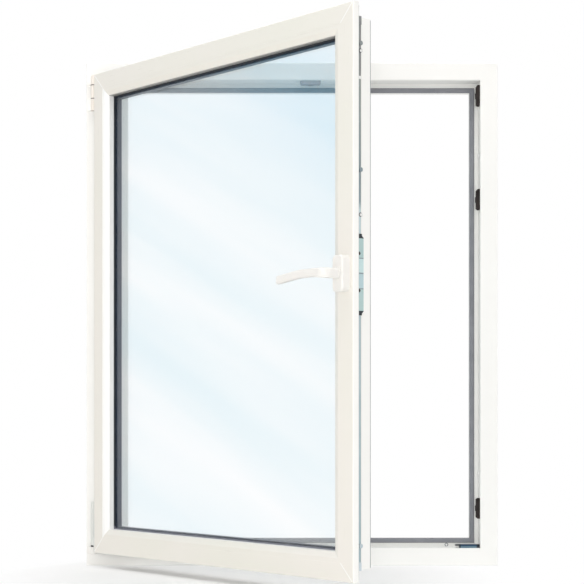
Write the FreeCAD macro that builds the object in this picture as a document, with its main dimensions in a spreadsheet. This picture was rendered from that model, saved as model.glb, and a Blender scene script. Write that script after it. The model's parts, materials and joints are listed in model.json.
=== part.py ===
import FreeCAD, Part
import os
from collections import namedtuple
from types import SimpleNamespace

import Sketcher
from FreeCAD import Placement, Rotation, Vector

# A white tilt and turn window, seen from the room with its leaf turned inwards.
# X runs along the wall, +Y points outdoors, +Z is up, and the origin is the middle
# of the face that the frame stands on. The leaf and all that it carries are drawn
# in the closed place and then turned about the hinge by the open angle.

doc = FreeCAD.newDocument("tilt_turn_window")
sheet = doc.addObject("Spreadsheet::Sheet", "Dims")

DRIVING_SIZES = [
    ("frame_width", 900, "outer width of the fixed frame"),
    ("frame_height", 1100, "outer height of the fixed frame"),
    ("frame_depth", 70, "depth of the fixed frame"),
    ("face_width", 38, "frame's room face, outer edge to rebate floor"),
    ("leg_height", 57, "outer edge to the tip of the frame's outer leg"),
    ("leg_thick", 22.8, "depth of the frame's outer leg"),
    ("leg_slope", 7, "rain bevel on the outer leg"),
    ("anchor_width", 8, "width of the anchor grooves behind the frame"),
    ("anchor_depth", 4, "depth of the anchor grooves"),
    ("anchor_offset", 17, "anchor groove's middle from the frame's middle"),
    ("drain_width", 7, "width of the drain channel beside the outer leg"),
    ("drain_depth", 4, "depth of the drain channel"),
    ("drain_slot_length", 32, "length of a drain slot on the outdoor face"),
    ("drain_slot_width", 5, "height of a drain slot"),
    ("drain_slot_depth", 6, "depth of a drain slot"),
    ("drain_slot_spread", 560, "distance between the two drain slots"),
    ("frame_round", 2.5, "rounding of the frame's room edges"),
    ("fixing_radius", 4, "radius of the frame's fixing holes"),
    ("fixing_depth", -7, "fixing holes from the frame's middle depth"),
    ("jamb_fixing_spread", 700, "distance between the two holes of a jamb"),
    ("sill_fixing_spread", 688, "distance between the two holes of the sill"),
    ("cap_radius", 5.5, "radius of a cap over a fixing hole"),
    ("cap_height", 1.6, "height of a cap over a fixing hole"),
    ("overlap", 8, "leaf's lip over the frame's room face"),
    ("seal_gap", 5, "gap between leaf's lip and frame's face"),
    ("lip_thick", 14.5, "thickness of the leaf's lip"),
    ("rebate_gap", 13, "gap between leaf and rebate floor"),
    ("back_gap", 5, "gap between leaf's back and the outer leg"),
    ("sash_wall", 34, "lip edge to the glazing rebate's floor"),
    ("sash_leg", 19.2, "thickness of the leaf's outdoor leg"),
    ("sash_leg_height", 52, "lip edge to the tip of the outdoor leg"),
    ("sash_slope", 3.5, "rain bevel on the leaf's outdoor leg"),
    ("sash_round", 3, "rounding of the leaf's room edges"),
    ("groove_setback", 16, "fitting groove's middle from the lip's back"),
    ("plate_width", 16, "width of the groove's faceplate recess"),
    ("plate_recess", 3, "depth of the faceplate recess"),
    ("channel_width", 12, "width of the rod channel"),
    ("channel_depth", 9, "depth of the rod channel from the groove's mouth"),
    ("bead_width", 20, "width of the glazing bead"),
    ("bead_setback", 0.5, "bead's front behind the leaf's face"),
    ("bead_land", 8, "flat front of the bead beside the leaf"),
    ("bead_slope", 4, "how far the bead's front slopes to its inner edge"),
    ("bead_round", 5, "rounding of the bead's front"),
    ("bead_edge_round", 2.5, "rounding of the bead's inner edge"),
    ("pane_thick", 4, "thickness of one pane"),
    ("cavity", 12, "space between the panes"),
    ("pane_clearance", 4, "pane's edge to the glazing rebate's floor"),
    ("inner_seal", 3, "thickness of the room side glazing gasket"),
    ("outer_seal", 3.5, "thickness of the outdoor glazing gasket"),
    ("seal_show", 2.5, "room side glazing gasket showing past the bead"),
    ("seal_tuck", 1, "outdoor glazing gasket behind the outdoor leg's tip"),
    ("seal_width", 11, "width of a glazing gasket"),
    ("spacer_width", 9, "width of the spacer between the panes"),
    ("spacer_show", 5.5, "spacer showing past the bead"),
    ("frame_seal_width", 11, "width of the frame's gasket"),
    ("frame_seal_foot", 3, "width of the gasket's foot in its slot"),
    ("frame_seal_foot_depth", 4, "depth of the gasket's slot"),
    ("frame_seal_squeeze", 0.4, "gasket's nose to the closed leaf"),
    ("frame_seal_round", 3.5, "rounding of the gasket's nose"),
    ("lip_seal_edge", 5, "lip edge to the lip gasket"),
    ("lip_seal_width", 2.8, "width of the lip gasket"),
    ("lip_seal_foot", 1.5, "width of the lip gasket's foot"),
    ("lip_seal_foot_depth", 3, "depth of the lip gasket's slot"),
    ("lip_seal_clear", 0.9, "lip gasket to the closed frame"),
    ("open_angle", 50, "how far the leaf is turned open, in degrees"),
    ("hinge_out", 12.5, "turn axis outside the leaf's edge"),
    ("hinge_stand", 11, "turn axis in front of the frame's room face"),
    ("knuckle_radius", 6.5, "radius of the hinge knuckles"),
    ("pin_radius", 2.5, "radius of the upper hinge pin"),
    ("pin_clear", 0.1, "clearance of a pin in its bore"),
    ("knuckle_gap", 1, "gap between knuckles"),
    ("bracket_thick", 1.2, "thickness of a hinge bracket's base"),
    ("bracket_width", 12.5, "width of a hinge bracket's base"),
    ("bracket_reach", 16.5, "far edge of a bracket's base from the axis"),
    ("neck_width", 7.5, "width of the neck from base to knuckle"),
    ("neck_offset", 5, "neck's near side from the axis"),
    ("upper_hinge_drop", 106, "frame's top to the lower end of the upper hinge"),
    ("upper_lower_knuckle", 25, "height of its lower knuckle"),
    ("stay_knuckle", 29, "height of the stay arm's knuckle"),
    ("upper_top_knuckle", 19, "height of its top knuckle"),
    ("pin_head_radius", 4, "radius of the hinge pin's head"),
    ("pin_head_height", 1.5, "height of the hinge pin's head"),
    ("stay_web_thick", 2.2, "thickness of the stay arm's upright web"),
    ("stay_web_clear", 1.4, "web's clearance before the frame's face"),
    ("stay_web_reach", 29, "web's far end from the axis"),
    ("stay_riser", 15, "width of the web's riser to the bar"),
    ("stay_web_trim", 2, "web's edges inside its knuckle's ends"),
    ("stay_bar_thick", 3.5, "thickness of the stay arm's bar"),
    ("stay_bar_drop", 4, "bar's top below the head's rebate floor"),
    ("stay_bar_clear", 1.6, "bar's near end from the jamb's rebate floor"),
    ("stay_notch_clear", 5, "room round the web where it crosses the lip gasket"),
    ("stay_length", 350, "turn axis to the stay's stud"),
    ("stay_end", 7, "bar's end past the stud"),
    ("stud_radius", 3, "radius of the stay's stud"),
    ("stud_clear", 1, "stud's end above the channel's floor"),
    ("slot_clear", 0.5, "clearance beside a cam's stem in its slot"),
    ("stay_slot_clear", 2.2, "clearance beside the stay's stud, whose arc leaves the slot's middle"),
    ("stay_slot_run", 45, "stud's run in the top faceplate when tilted"),
    ("lower_boss_low", 26, "lower end of the bottom hinge"),
    ("lower_boss_height", 16, "height of the bottom hinge's boss"),
    ("collar_radius", 4.5, "radius of the collar over the boss"),
    ("collar_height", 2.7, "height of the collar over the boss"),
    ("collar_clear", 0.3, "collar to the barrel above it"),
    ("pivot_radius", 3, "radius of the bottom hinge's pivot pin"),
    ("pivot_height", 35, "pivot pin's height over the collar"),
    ("pivot_end_clear", 2, "pivot pin's end to the bore's end"),
    ("barrel_height", 95, "height of the bottom hinge's barrel"),
    ("tilt_height", 36, "height of the tilt axis"),
    ("tab_clear", 0.3, "tab beside the boss, and beside the leaf plate"),
    ("tab_thick", 2, "thickness of the barrel's tab"),
    ("tab_width", 10, "width of the tab and of the leaf plate"),
    ("tab_foot", 5, "tab's foot below the tilt axis"),
    ("tab_rise", 16, "tab's top above the barrel's foot"),
    ("trunnion_radius", 2.5, "radius of the tilt trunnion"),
    ("leaf_plate_height", 64, "height of the plate on the leaf's edge"),
    ("cover_bevel", 1.2, "bevel on the hinge cover's end"),
    ("faceplate_thick", 2.5, "thickness of the faceplates"),
    ("faceplate_side_clear", 0.25, "faceplate to the recess, each side"),
    ("faceplate_margin", 14, "faceplate's end beyond the leaf's rebate corner"),
    ("rod_thick", 4.5, "thickness of the drive rods"),
    ("rod_width", 10, "width of the drive rods"),
    ("rod_clear", 0.5, "drive rod to the faceplate over it"),
    ("rod_margin", 12, "a drive rod's end past its outermost cam"),
    ("top_rod_length", 230, "top rod's run from its cam to the corner drive"),
    ("drive_travel", 20, "travel of the rods either way"),
    ("cam_radius", 4, "radius of a locking cam"),
    ("cam_stem_radius", 2.5, "radius of a cam's stem"),
    ("cam_height", 8.5, "height of a cam's head"),
    ("cam_lift", 1, "cam's head above the faceplate"),
    ("cam_entry", 7.5, "cam before its keep when the handle is level"),
    ("keep_length", 45, "length of a keep"),
    ("keep_base", 2, "thickness of a keep's base"),
    ("keep_height", 8, "height of a keep's walls"),
    ("keep_inner_wall", 2.2, "thickness of a keep's room side wall"),
    ("keep_outer_wall", 3.8, "thickness of a keep's outdoor wall"),
    ("keep_cam_clear", 1, "keep's wall beside a cam"),
    ("keep_chamfer", 3, "bevel on the ends of a keep's walls"),
    ("keep_stop_length", 12, "length of the stop on a keep's outdoor wall"),
    ("keep_stop_rise", 1.2, "height of the stop over the wall"),
    ("upper_keep_drop", 92, "frame's top to the lower end of the upper keep"),
    ("middle_keep_drop", 320, "frame's top to the lower end of the middle keep"),
    ("lower_keep_low", 102, "frame's foot to the lower end of the lower keep"),
    ("head_keep_near", 21, "head keep's end from the middle of the head"),
    ("tilt_keep_length", 53, "length of the tilt keep on the sill"),
    ("tilt_keep_body", 44, "length of the tilt keep's lower body"),
    ("tilt_keep_height", 7.5, "height of the tilt keep"),
    ("tilt_keep_bar", 2.5, "thickness of the tilt keep's upper bar"),
    ("tilt_keep_width", 15, "depth of the tilt keep"),
    ("tilt_keep_clear", 1, "tilt keep to the lock jamb"),
    ("gear_height", 131, "height of the gear's plate"),
    ("gear_width", 19.6, "width of the gear's plate"),
    ("gear_thick", 2.3, "thickness of the gear's plate"),
    ("gear_notch", 8, "height of the notch at each end of the gear's plate"),
    ("gear_cover_height", 56, "height of the two covers over the gear"),
    ("gear_cover_seam", 0.8, "gap between the two covers"),
    ("gear_cover_rise", 0.8, "thickness of the covers"),
    ("gear_cover_inset", 1.2, "covers' sides inside the plate's sides"),
    ("corner_reach", 56, "corner drive's leg along the next rail"),
    ("corner_tail", 37, "top corner drive's leg below its cam's slot"),
    ("corner_overrun", 2, "corner drive's raised block past the leaf's rebate corner"),
    ("corner_gap", 0.5, "corner drive to the faceplate beside it"),
    ("corner_block", 15, "length of the corner drive's raised block"),
    ("corner_rise", 1.8, "height of the corner drive's raised block"),
    ("handle_height", 584, "height of the handle's axis"),
    ("handle_edge", 23, "handle's axis from the leaf's edge"),
    ("rosette_width", 29, "width of the handle's rosette"),
    ("rosette_height", 66, "height of the handle's rosette"),
    ("rosette_thick", 18, "thickness of the handle's rosette"),
    ("rosette_corner", 8, "corner radius of the rosette"),
    ("rosette_bevel", 2.5, "bevel round the rosette's front"),
    ("handle_clear", 0.3, "handle's neck to the rosette"),
    ("handle_collar", 11, "radius of the round collar at the handle's neck"),
    ("handle_collar_height", 3.5, "height of the collar"),
    ("handle_neck_width", 17, "width of the handle's neck"),
    ("handle_stand", 50, "grip's middle line from the leaf's face"),
    ("handle_length", 128.5, "handle's axis to the tip of its grip"),
    ("grip_top", 8.5, "grip's top above the handle's axis"),
    ("grip_root_height", 18, "height of the grip beside its neck"),
    ("grip_height", 15.2, "height of the grip"),
    ("grip_root_thick", 14, "thickness of the grip beside its neck"),
    ("grip_tip_thick", 10.5, "thickness of the grip at its tip"),
    ("grip_outer_bend", 17, "outer bend radius from neck to grip"),
    ("grip_inner_bend", 9, "inner bend radius from neck to grip"),
    ("grip_arch_start", 6, "start of the arch under the grip from the handle's axis"),
    ("grip_arch_run", 18, "length over which the arch rises"),
    ("grip_arch_round", 25, "rounding of the arch's start and end"),
    ("grip_droop_start", 64, "start of the grip's bend down from the handle's axis"),
    ("grip_droop", 7.8, "how far the grip's tip drops"),
    ("grip_droop_round", 180, "rounding of the grip's bend down"),
    ("grip_tip_round", 4, "rounding of the grip's tip"),
    ("grip_round", 3.2, "rounding along the lever's top"),
    ("grip_bevel", 2, "bevel along the lever's underside"),
    ("lever_cut_spare", 5, "room past the lever for the cuts that shape it"),
]
for row, (alias, value, meaning) in enumerate(DRIVING_SIZES, start=1):
    sheet.set(f"A{row}", meaning)
    sheet.set(f"B{row}", str(value))
    sheet.setAlias(f"B{row}", alias)
doc.recompute()


class Size:
    """A length that carries its number and the sheet expression that it comes from."""

    def __init__(self, number, text):
        self.number = number
        self.text = text

    def __add__(self, other):
        other = as_size(other)
        return Size(self.number + other.number, f"({self.text} + {other.text})")

    def __sub__(self, other):
        other = as_size(other)
        return Size(self.number - other.number, f"({self.text} - {other.text})")

    def __mul__(self, factor):
        return Size(self.number * factor, f"({self.text} * {factor!r})")

    def __neg__(self):
        return Size(-self.number, f"(0 - {self.text})")

    __radd__ = __add__
    __rmul__ = __mul__

    def __rsub__(self, other):
        return as_size(other) - self


def as_size(value):
    return value if isinstance(value, Size) else Size(float(value), f"({float(value)!r})")


dim = SimpleNamespace(
    **{alias: Size(float(value), f"Dims.{alias}") for alias, value, meaning in DRIVING_SIZES}
)
Disc = namedtuple("Disc", "x y radius")
Border = namedtuple("Border", "left right bottom top")
PLANES = {"XY": ("XY_Plane", 1), "XZ": ("XZ_Plane", -1), "YZ": ("YZ_Plane", 1)}
parts = []


# Drawing helpers

def bind(item, path, size):
    item.setExpression(path, as_size(size).text)


def new_body(label):
    body = doc.addObject("PartDesign::Body", label)
    body.Label = label
    parts.append(body)
    return body


def new_sketch(body, name, plane, height):
    """A sketch parallel to one of the body's planes, at a height along the axis left over."""
    role, sign = PLANES[plane]
    sketch = body.newObject("Sketcher::SketchObject", name)
    support = [item for item in body.Origin.OriginFeatures if item.Role == role][0]
    sketch.AttachmentSupport = [(support, "")]
    sketch.MapMode = "FlatFace"
    offset = as_size(height) * sign
    sketch.AttachmentOffset = Placement(Vector(0, 0, offset.number), Rotation())
    bind(sketch, "AttachmentOffset.Base.z", offset)
    return sketch


def pin_point(sketch, geometry, end, x, y):
    """Fixes a point of the sketch at bound distances from the sketch's origin."""
    for kind, size in (("DistanceX", as_size(x)), ("DistanceY", as_size(y))):
        rule = Sketcher.Constraint(kind, -1, 1, geometry, end, size.number)
        bind(sketch, f"Constraints[{sketch.addConstraint(rule)}]", size)


def draw(sketch, outline):
    """Draws one closed outline: a disc, or straight lines between bound corners."""
    if isinstance(outline, Disc):
        x, y, radius = (as_size(value) for value in outline)
        ring = Part.Circle(Vector(x.number, y.number, 0), Vector(0, 0, 1), radius.number)
        circle = sketch.addGeometry(ring, False)
        pin_point(sketch, circle, 3, x, y)
        rule = Sketcher.Constraint("Radius", circle, radius.number)
        bind(sketch, f"Constraints[{sketch.addConstraint(rule)}]", radius)
        return
    corners = [Vector(as_size(x).number, as_size(y).number, 0) for x, y in outline]
    lines = []
    for corner, following in zip(corners, corners[1:] + corners[:1]):
        lines.append(sketch.addGeometry(Part.LineSegment(corner, following), False))
    for line, following in zip(lines, lines[1:] + lines[:1]):
        sketch.addConstraint(Sketcher.Constraint("Coincident", line, 2, following, 1))
    for line, (x, y) in zip(lines, outline):
        pin_point(sketch, line, 1, x, y)


def extrude(body, name, plane, low, high, *outlines, cut=False):
    """Pads or pockets outlines between two heights along the axis that the plane leaves over."""
    at_low = (PLANES[plane][1] > 0) != cut
    sketch = new_sketch(body, f"{name}_sketch", plane, low if at_low else high)
    for outline in outlines:
        draw(sketch, outline)
    feature = body.newObject("PartDesign::Pocket" if cut else "PartDesign::Pad", name)
    feature.Profile = sketch
    bind(feature, "Length", as_size(high) - low)
    return feature


def round_edges(body, name, radius, chosen, chamfer=False):
    """Rounds or bevels the edges of the body so far for which chosen(edge) is true."""
    doc.recompute()
    base = body.Tip
    names = [f"Edge{i}" for i, edge in enumerate(base.Shape.Edges, start=1) if chosen(edge)]
    feature = body.newObject("PartDesign::Chamfer" if chamfer else "PartDesign::Fillet", name)
    feature.Base = (base, names)
    bind(feature, "Size" if chamfer else "Radius", radius)
    return feature


def edge_lies(**place):
    """A test for edges whose two ends both have the given coordinates."""
    wanted = {axis: as_size(size).number for axis, size in place.items()}

    def lies(edge):
        ends = [vertex.Point for vertex in edge.Vertexes]
        return all(abs(getattr(end, axis) - wanted[axis]) < 0.01 for end in ends for axis in wanted)

    return lies


def any_of(*tests):
    return lambda edge: any(test(edge) for test in tests)


def box_outline(low_a, high_a, low_b, high_b):
    return [(low_a, low_b), (high_a, low_b), (high_a, high_b), (low_a, high_b)]


def inside(border, margin):
    left, right = border.left + margin, border.right - margin
    return Border(left, right, border.bottom + margin, border.top - margin)


def window_outline(border, margin):
    return box_outline(*inside(border, margin))


# Shared places: y is depth, u is measured inwards from a border

frame_border = Border(dim.frame_width * -0.5, dim.frame_width * 0.5, as_size(0), dim.frame_height)
room_y = dim.frame_depth * -0.5
outdoor_y = dim.frame_depth * 0.5
leg_y = outdoor_y - dim.leg_thick
rebate = inside(frame_border, dim.face_width)

sash_border = inside(frame_border, dim.face_width - dim.overlap)
sash_step = dim.overlap + dim.rebate_gap
sash_rebate = inside(sash_border, sash_step)
lip_back_y = room_y - dim.seal_gap
sash_face_y = lip_back_y - dim.lip_thick
sash_back_y = leg_y - dim.back_gap
sash_leg_y = sash_back_y - dim.sash_leg
groove_y = lip_back_y + dim.groove_setback

outer_pane_y = sash_leg_y - dim.outer_seal
cavity_out_y = outer_pane_y - dim.pane_thick
cavity_in_y = cavity_out_y - dim.cavity
inner_pane_y = cavity_in_y - dim.pane_thick
bead_back_y = inner_pane_y - dim.inner_seal
bead_front = sash_face_y + dim.bead_setback
sight_line = dim.sash_wall + dim.bead_width

axis_x = sash_border.left - dim.hinge_out
axis_y = room_y - dim.hinge_stand


def turn_open(item):
    """Turns a piece of the leaf from its closed place about the hinge by the open angle."""
    cosine = "cos(Dims.open_angle * 1deg)"
    sine = "sin(Dims.open_angle * 1deg)"
    across = axis_x.text
    depth = axis_y.text
    item.Placement = Placement(Vector(), Rotation(Vector(0, 0, -1), dim.open_angle.number))
    bind(item, "Placement.Rotation.Angle", dim.open_angle)
    item.setExpression("Placement.Base.x", f"{across} * (1 - {cosine}) - {depth} * {sine}")
    item.setExpression("Placement.Base.y", f"{depth} * (1 - {cosine}) + {across} * {sine}")


# Mitred rails

def rail(label, side, border, profile, reach, rounds):
    """One mitred rail: its profile, given as (u, y), runs along a side of the border."""
    body = new_body(label)
    upright = side in ("left", "right")
    edge = getattr(border, side)
    inward = 1 if side in ("left", "bottom") else -1

    def across(u):
        return edge + as_size(u) * inward

    if upright:
        outline = [(across(u), y) for u, y in profile]
        extrude(body, f"{label}_length", "XY", border.bottom, border.top, outline)
    else:
        outline = [(y, across(u)) for u, y in profile]
        extrude(body, f"{label}_length", "YZ", border.left, border.right, outline)
    for number, (u, y, radius) in enumerate(rounds, start=1):
        place = {"x" if upright else "z": across(u), "y": y}
        round_edges(body, f"{label}_round_{number}", radius, edge_lies(**place))
    spare = as_size(2)
    far = reach + spare
    ends = (border.bottom, border.top) if upright else (border.left, border.right)
    corners = []
    for end, way in zip(ends, (1, -1)):
        near_edge, near_end = across(-spare), end - spare * way
        far_edge, far_end = across(far), end + far * way
        corner = [(near_edge, near_end), (far_edge, near_end), (far_edge, far_end)]
        corners.append(corner if upright else [(along, aside) for aside, along in corner])
    depths = (sash_face_y - spare, outdoor_y + spare)
    extrude(body, f"{label}_mitres", "XZ", *depths, *corners, cut=True)
    return body


def frame_profile():
    groove_near = dim.anchor_offset - dim.anchor_width * 0.5
    groove_far = dim.anchor_offset + dim.anchor_width * 0.5
    foot_middle = dim.leg_height - dim.frame_seal_width * 0.5
    foot_low = foot_middle - dim.frame_seal_foot * 0.5
    foot_high = foot_middle + dim.frame_seal_foot * 0.5
    foot_end = leg_y + dim.frame_seal_foot_depth
    drain_floor = dim.face_width - dim.drain_depth
    drain_edge = leg_y - dim.drain_width
    return [
        (0, room_y),
        (0, -groove_far), (dim.anchor_depth, -groove_far),
        (dim.anchor_depth, -groove_near), (0, -groove_near),
        (0, groove_near), (dim.anchor_depth, groove_near),
        (dim.anchor_depth, groove_far), (0, groove_far),
        (0, outdoor_y),
        (dim.leg_height - dim.leg_slope, outdoor_y), (dim.leg_height, outdoor_y - dim.leg_slope),
        (dim.leg_height, leg_y),
        (foot_high, leg_y), (foot_high, foot_end), (foot_low, foot_end), (foot_low, leg_y),
        (drain_floor, leg_y), (drain_floor, drain_edge), (dim.face_width, drain_edge - dim.drain_depth),
        (dim.face_width, room_y),
    ]


def sash_profile():
    plate_low = groove_y - dim.plate_width * 0.5
    plate_high = groove_y + dim.plate_width * 0.5
    channel_low = groove_y - dim.channel_width * 0.5
    channel_high = groove_y + dim.channel_width * 0.5
    shelf = sash_step + dim.plate_recess
    floor = sash_step + dim.channel_depth
    foot_middle = dim.lip_seal_edge + dim.lip_seal_width * 0.5
    foot_low = foot_middle - dim.lip_seal_foot * 0.5
    foot_high = foot_middle + dim.lip_seal_foot * 0.5
    foot_end = lip_back_y - dim.lip_seal_foot_depth
    return [
        (0, sash_face_y), (dim.sash_wall, sash_face_y),
        (dim.sash_wall, sash_leg_y), (dim.sash_leg_height, sash_leg_y),
        (dim.sash_leg_height, sash_back_y - dim.sash_slope),
        (dim.sash_leg_height - dim.sash_slope, sash_back_y),
        (sash_step, sash_back_y),
        (sash_step, plate_high), (shelf, plate_high), (shelf, channel_high), (floor, channel_high),
        (floor, channel_low), (shelf, channel_low), (shelf, plate_low), (sash_step, plate_low),
        (sash_step, lip_back_y),
        (foot_high, lip_back_y), (foot_high, foot_end), (foot_low, foot_end), (foot_low, lip_back_y),
        (0, lip_back_y),
    ]


def bead_profile():
    return [
        (dim.sash_wall, bead_front), (dim.sash_wall + dim.bead_land, bead_front),
        (sight_line, bead_front + dim.bead_slope), (sight_line, bead_back_y),
        (dim.sash_wall, bead_back_y),
    ]


FRAME_SIDES = {"head": "top", "sill": "bottom", "hinge_jamb": "left", "lock_jamb": "right"}
LEAF_SIDES = {"top": "top", "bottom": "bottom", "hinge": "left", "lock": "right"}
RAIL_NAMES = {"top": "rail", "bottom": "rail", "hinge": "stile", "lock": "stile"}

frame_rounds = [(0, room_y, dim.frame_round * 0.5), (dim.face_width, room_y, dim.frame_round)]
frame_rails = {
    name: rail(f"frame_{name}", side, frame_border, frame_profile(), dim.leg_height, frame_rounds)
    for name, side in FRAME_SIDES.items()
}

leaf_parts = []
sash_rounds = [(0, sash_face_y, dim.sash_round), (0, lip_back_y, dim.sash_round * 0.5)]
bead_rounds = [
    (dim.sash_wall + dim.bead_land, bead_front, dim.bead_round),
    (sight_line, bead_front + dim.bead_slope, dim.bead_edge_round),
]
for name, side in LEAF_SIDES.items():
    label = f"sash_{name}_{RAIL_NAMES[name]}"
    leaf_parts.append(rail(label, side, sash_border, sash_profile(), dim.sash_leg_height, sash_rounds))
    label = f"glazing_bead_{name}"
    leaf_parts.append(rail(label, side, sash_border, bead_profile(), sight_line, bead_rounds))


# Fixing holes, their caps and the drain slots

fixing_middle = dim.frame_height * 0.5
jamb_fixings = [fixing_middle - dim.jamb_fixing_spread * 0.5, fixing_middle + dim.jamb_fixing_spread * 0.5]
sill_fixings = [dim.sill_fixing_spread * -0.5, dim.sill_fixing_spread * 0.5]
jamb_holes = [Disc(dim.fixing_depth, height, dim.fixing_radius) for height in jamb_fixings]
sill_holes = [Disc(place, dim.fixing_depth, dim.fixing_radius) for place in sill_fixings]
hinge_jamb, lock_jamb, sill = (frame_rails[name] for name in ("hinge_jamb", "lock_jamb", "sill"))
extrude(hinge_jamb, "hinge_fixings", "YZ", frame_border.left, rebate.left, *jamb_holes, cut=True)
extrude(lock_jamb, "lock_fixings", "YZ", rebate.right, frame_border.right, *jamb_holes, cut=True)
extrude(sill, "sill_fixings", "XY", frame_border.bottom, rebate.bottom, *sill_holes, cut=True)

drain_middle = dim.face_width - dim.drain_depth + dim.drain_slot_width * 0.5
drain_slots = []
for way in (-1, 1):
    middle = dim.drain_slot_spread * (0.5 * way)
    drain_slots.append(
        box_outline(
            middle - dim.drain_slot_length * 0.5, middle + dim.drain_slot_length * 0.5,
            drain_middle - dim.drain_slot_width * 0.5, drain_middle + dim.drain_slot_width * 0.5,
        )
    )
drain_end_y = outdoor_y - dim.drain_slot_depth
extrude(sill, "drain_slots", "XZ", drain_end_y, outdoor_y, *drain_slots, cut=True)

caps = new_body("fixing_caps")
caps.AllowCompound = True
sill_caps = [Disc(place, dim.fixing_depth, dim.cap_radius) for place in sill_fixings]
jamb_caps = [Disc(dim.fixing_depth, height, dim.cap_radius) for height in jamb_fixings]
extrude(caps, "sill_caps", "XY", rebate.bottom, rebate.bottom + dim.cap_height, *sill_caps)
extrude(caps, "hinge_caps", "YZ", rebate.left, rebate.left + dim.cap_height, *jamb_caps)
extrude(caps, "lock_caps", "YZ", rebate.right - dim.cap_height, rebate.right, *jamb_caps)


# Gaskets, panes and spacer

def ring(label, border, outer, inner, low_y, high_y):
    """A flat ring between two margins of the border."""
    body = new_body(label)
    outlines = (window_outline(border, outer), window_outline(border, inner))
    extrude(body, f"{label}_ring", "XZ", low_y, high_y, *outlines)
    return body


frame_seal_y = sash_back_y + dim.frame_seal_squeeze
frame_seal_outer = dim.leg_height - dim.frame_seal_width
frame_seal = ring("frame_gasket", frame_border, frame_seal_outer, dim.leg_height, frame_seal_y, leg_y)
round_edges(frame_seal, "frame_gasket_nose", dim.frame_seal_round, edge_lies(y=frame_seal_y))
foot_outer = frame_seal_outer + (dim.frame_seal_width - dim.frame_seal_foot) * 0.5
foot_outlines = [window_outline(frame_border, foot_outer)]
foot_outlines.append(window_outline(frame_border, foot_outer + dim.frame_seal_foot))
extrude(frame_seal, "frame_gasket_foot", "XZ", leg_y, leg_y + dim.frame_seal_foot_depth, *foot_outlines)

lip_seal_y = room_y - dim.lip_seal_clear
lip_seal_inner = dim.lip_seal_edge + dim.lip_seal_width
lip_seal = ring("sash_gasket", sash_border, dim.lip_seal_edge, lip_seal_inner, lip_back_y, lip_seal_y)
foot_outer = dim.lip_seal_edge + (dim.lip_seal_width - dim.lip_seal_foot) * 0.5
foot_outlines = [window_outline(sash_border, foot_outer)]
foot_outlines.append(window_outline(sash_border, foot_outer + dim.lip_seal_foot))
extrude(lip_seal, "sash_gasket_foot", "XZ", lip_back_y - dim.lip_seal_foot_depth, lip_back_y, *foot_outlines)

seal_edge = sight_line + dim.seal_show
seal_margins = (seal_edge - dim.seal_width, seal_edge)
inner_seal = ring("inner_glazing_gasket", sash_border, *seal_margins, bead_back_y, inner_pane_y)
seal_edge = dim.sash_leg_height - dim.seal_tuck
seal_margins = (seal_edge - dim.seal_width, seal_edge)
outer_seal = ring("outer_glazing_gasket", sash_border, *seal_margins, outer_pane_y, sash_leg_y)
spacer_edge = sight_line + dim.spacer_show
spacer_margins = (spacer_edge - dim.spacer_width, spacer_edge)
spacer = ring("pane_spacer", sash_border, *spacer_margins, cavity_in_y, cavity_out_y)
leaf_parts += [lip_seal, inner_seal, outer_seal, spacer]

pane_edge = dim.sash_wall + dim.pane_clearance
for label, low_y in (("inner_pane", inner_pane_y), ("outer_pane", cavity_out_y)):
    pane = new_body(label)
    pane_outline = window_outline(sash_border, pane_edge)
    extrude(pane, f"{label}_sheet", "XZ", low_y, low_y + dim.pane_thick, pane_outline)
    leaf_parts.append(pane)


# Keeps on the frame

keep_reach = dim.cam_radius + dim.keep_cam_clear


def keep(label, side, near, far):
    """A keep on the rebate floor: a base with two walls that the cam runs between, and a stop."""
    body = new_body(label)
    floor = getattr(rebate, side)
    base_top = floor - dim.keep_base
    wall_top = floor - dim.keep_height
    inner = groove_y - keep_reach
    outer = groove_y + keep_reach
    profile = [
        (inner - dim.keep_inner_wall, floor), (outer + dim.keep_outer_wall, floor),
        (outer + dim.keep_outer_wall, wall_top), (outer, wall_top), (outer, base_top),
        (inner, base_top), (inner, wall_top), (inner - dim.keep_inner_wall, wall_top),
    ]
    stop = box_outline(outer, outer + dim.keep_outer_wall, wall_top - dim.keep_stop_rise, wall_top)
    stop_near = (near + far - dim.keep_stop_length) * 0.5
    stop_ends = (stop_near, stop_near + dim.keep_stop_length)
    if side == "right":
        plane, run, rise = "XY", "z", "x"
        profile, stop = ([(x, y) for y, x in outline] for outline in (profile, stop))
    else:
        plane, run, rise = "YZ", "x", "z"
    extrude(body, f"{label}_channel", plane, near, far, profile)
    tips = [edge_lies(**{rise: wall_top, run: end}) for end in (near, far)]
    round_edges(body, f"{label}_lead_in", dim.keep_chamfer, any_of(*tips), chamfer=True)
    extrude(body, f"{label}_stop", plane, *stop_ends, stop)


lock_keeps = {
    "upper": dim.frame_height - dim.upper_keep_drop,
    "middle": dim.frame_height - dim.middle_keep_drop,
    "lower": dim.lower_keep_low,
}
for name, low in lock_keeps.items():
    keep(f"keep_{name}", "right", low, low + dim.keep_length)
head_keep_far = dim.head_keep_near + dim.keep_length
keep("keep_head", "top", dim.head_keep_near, head_keep_far)

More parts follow.
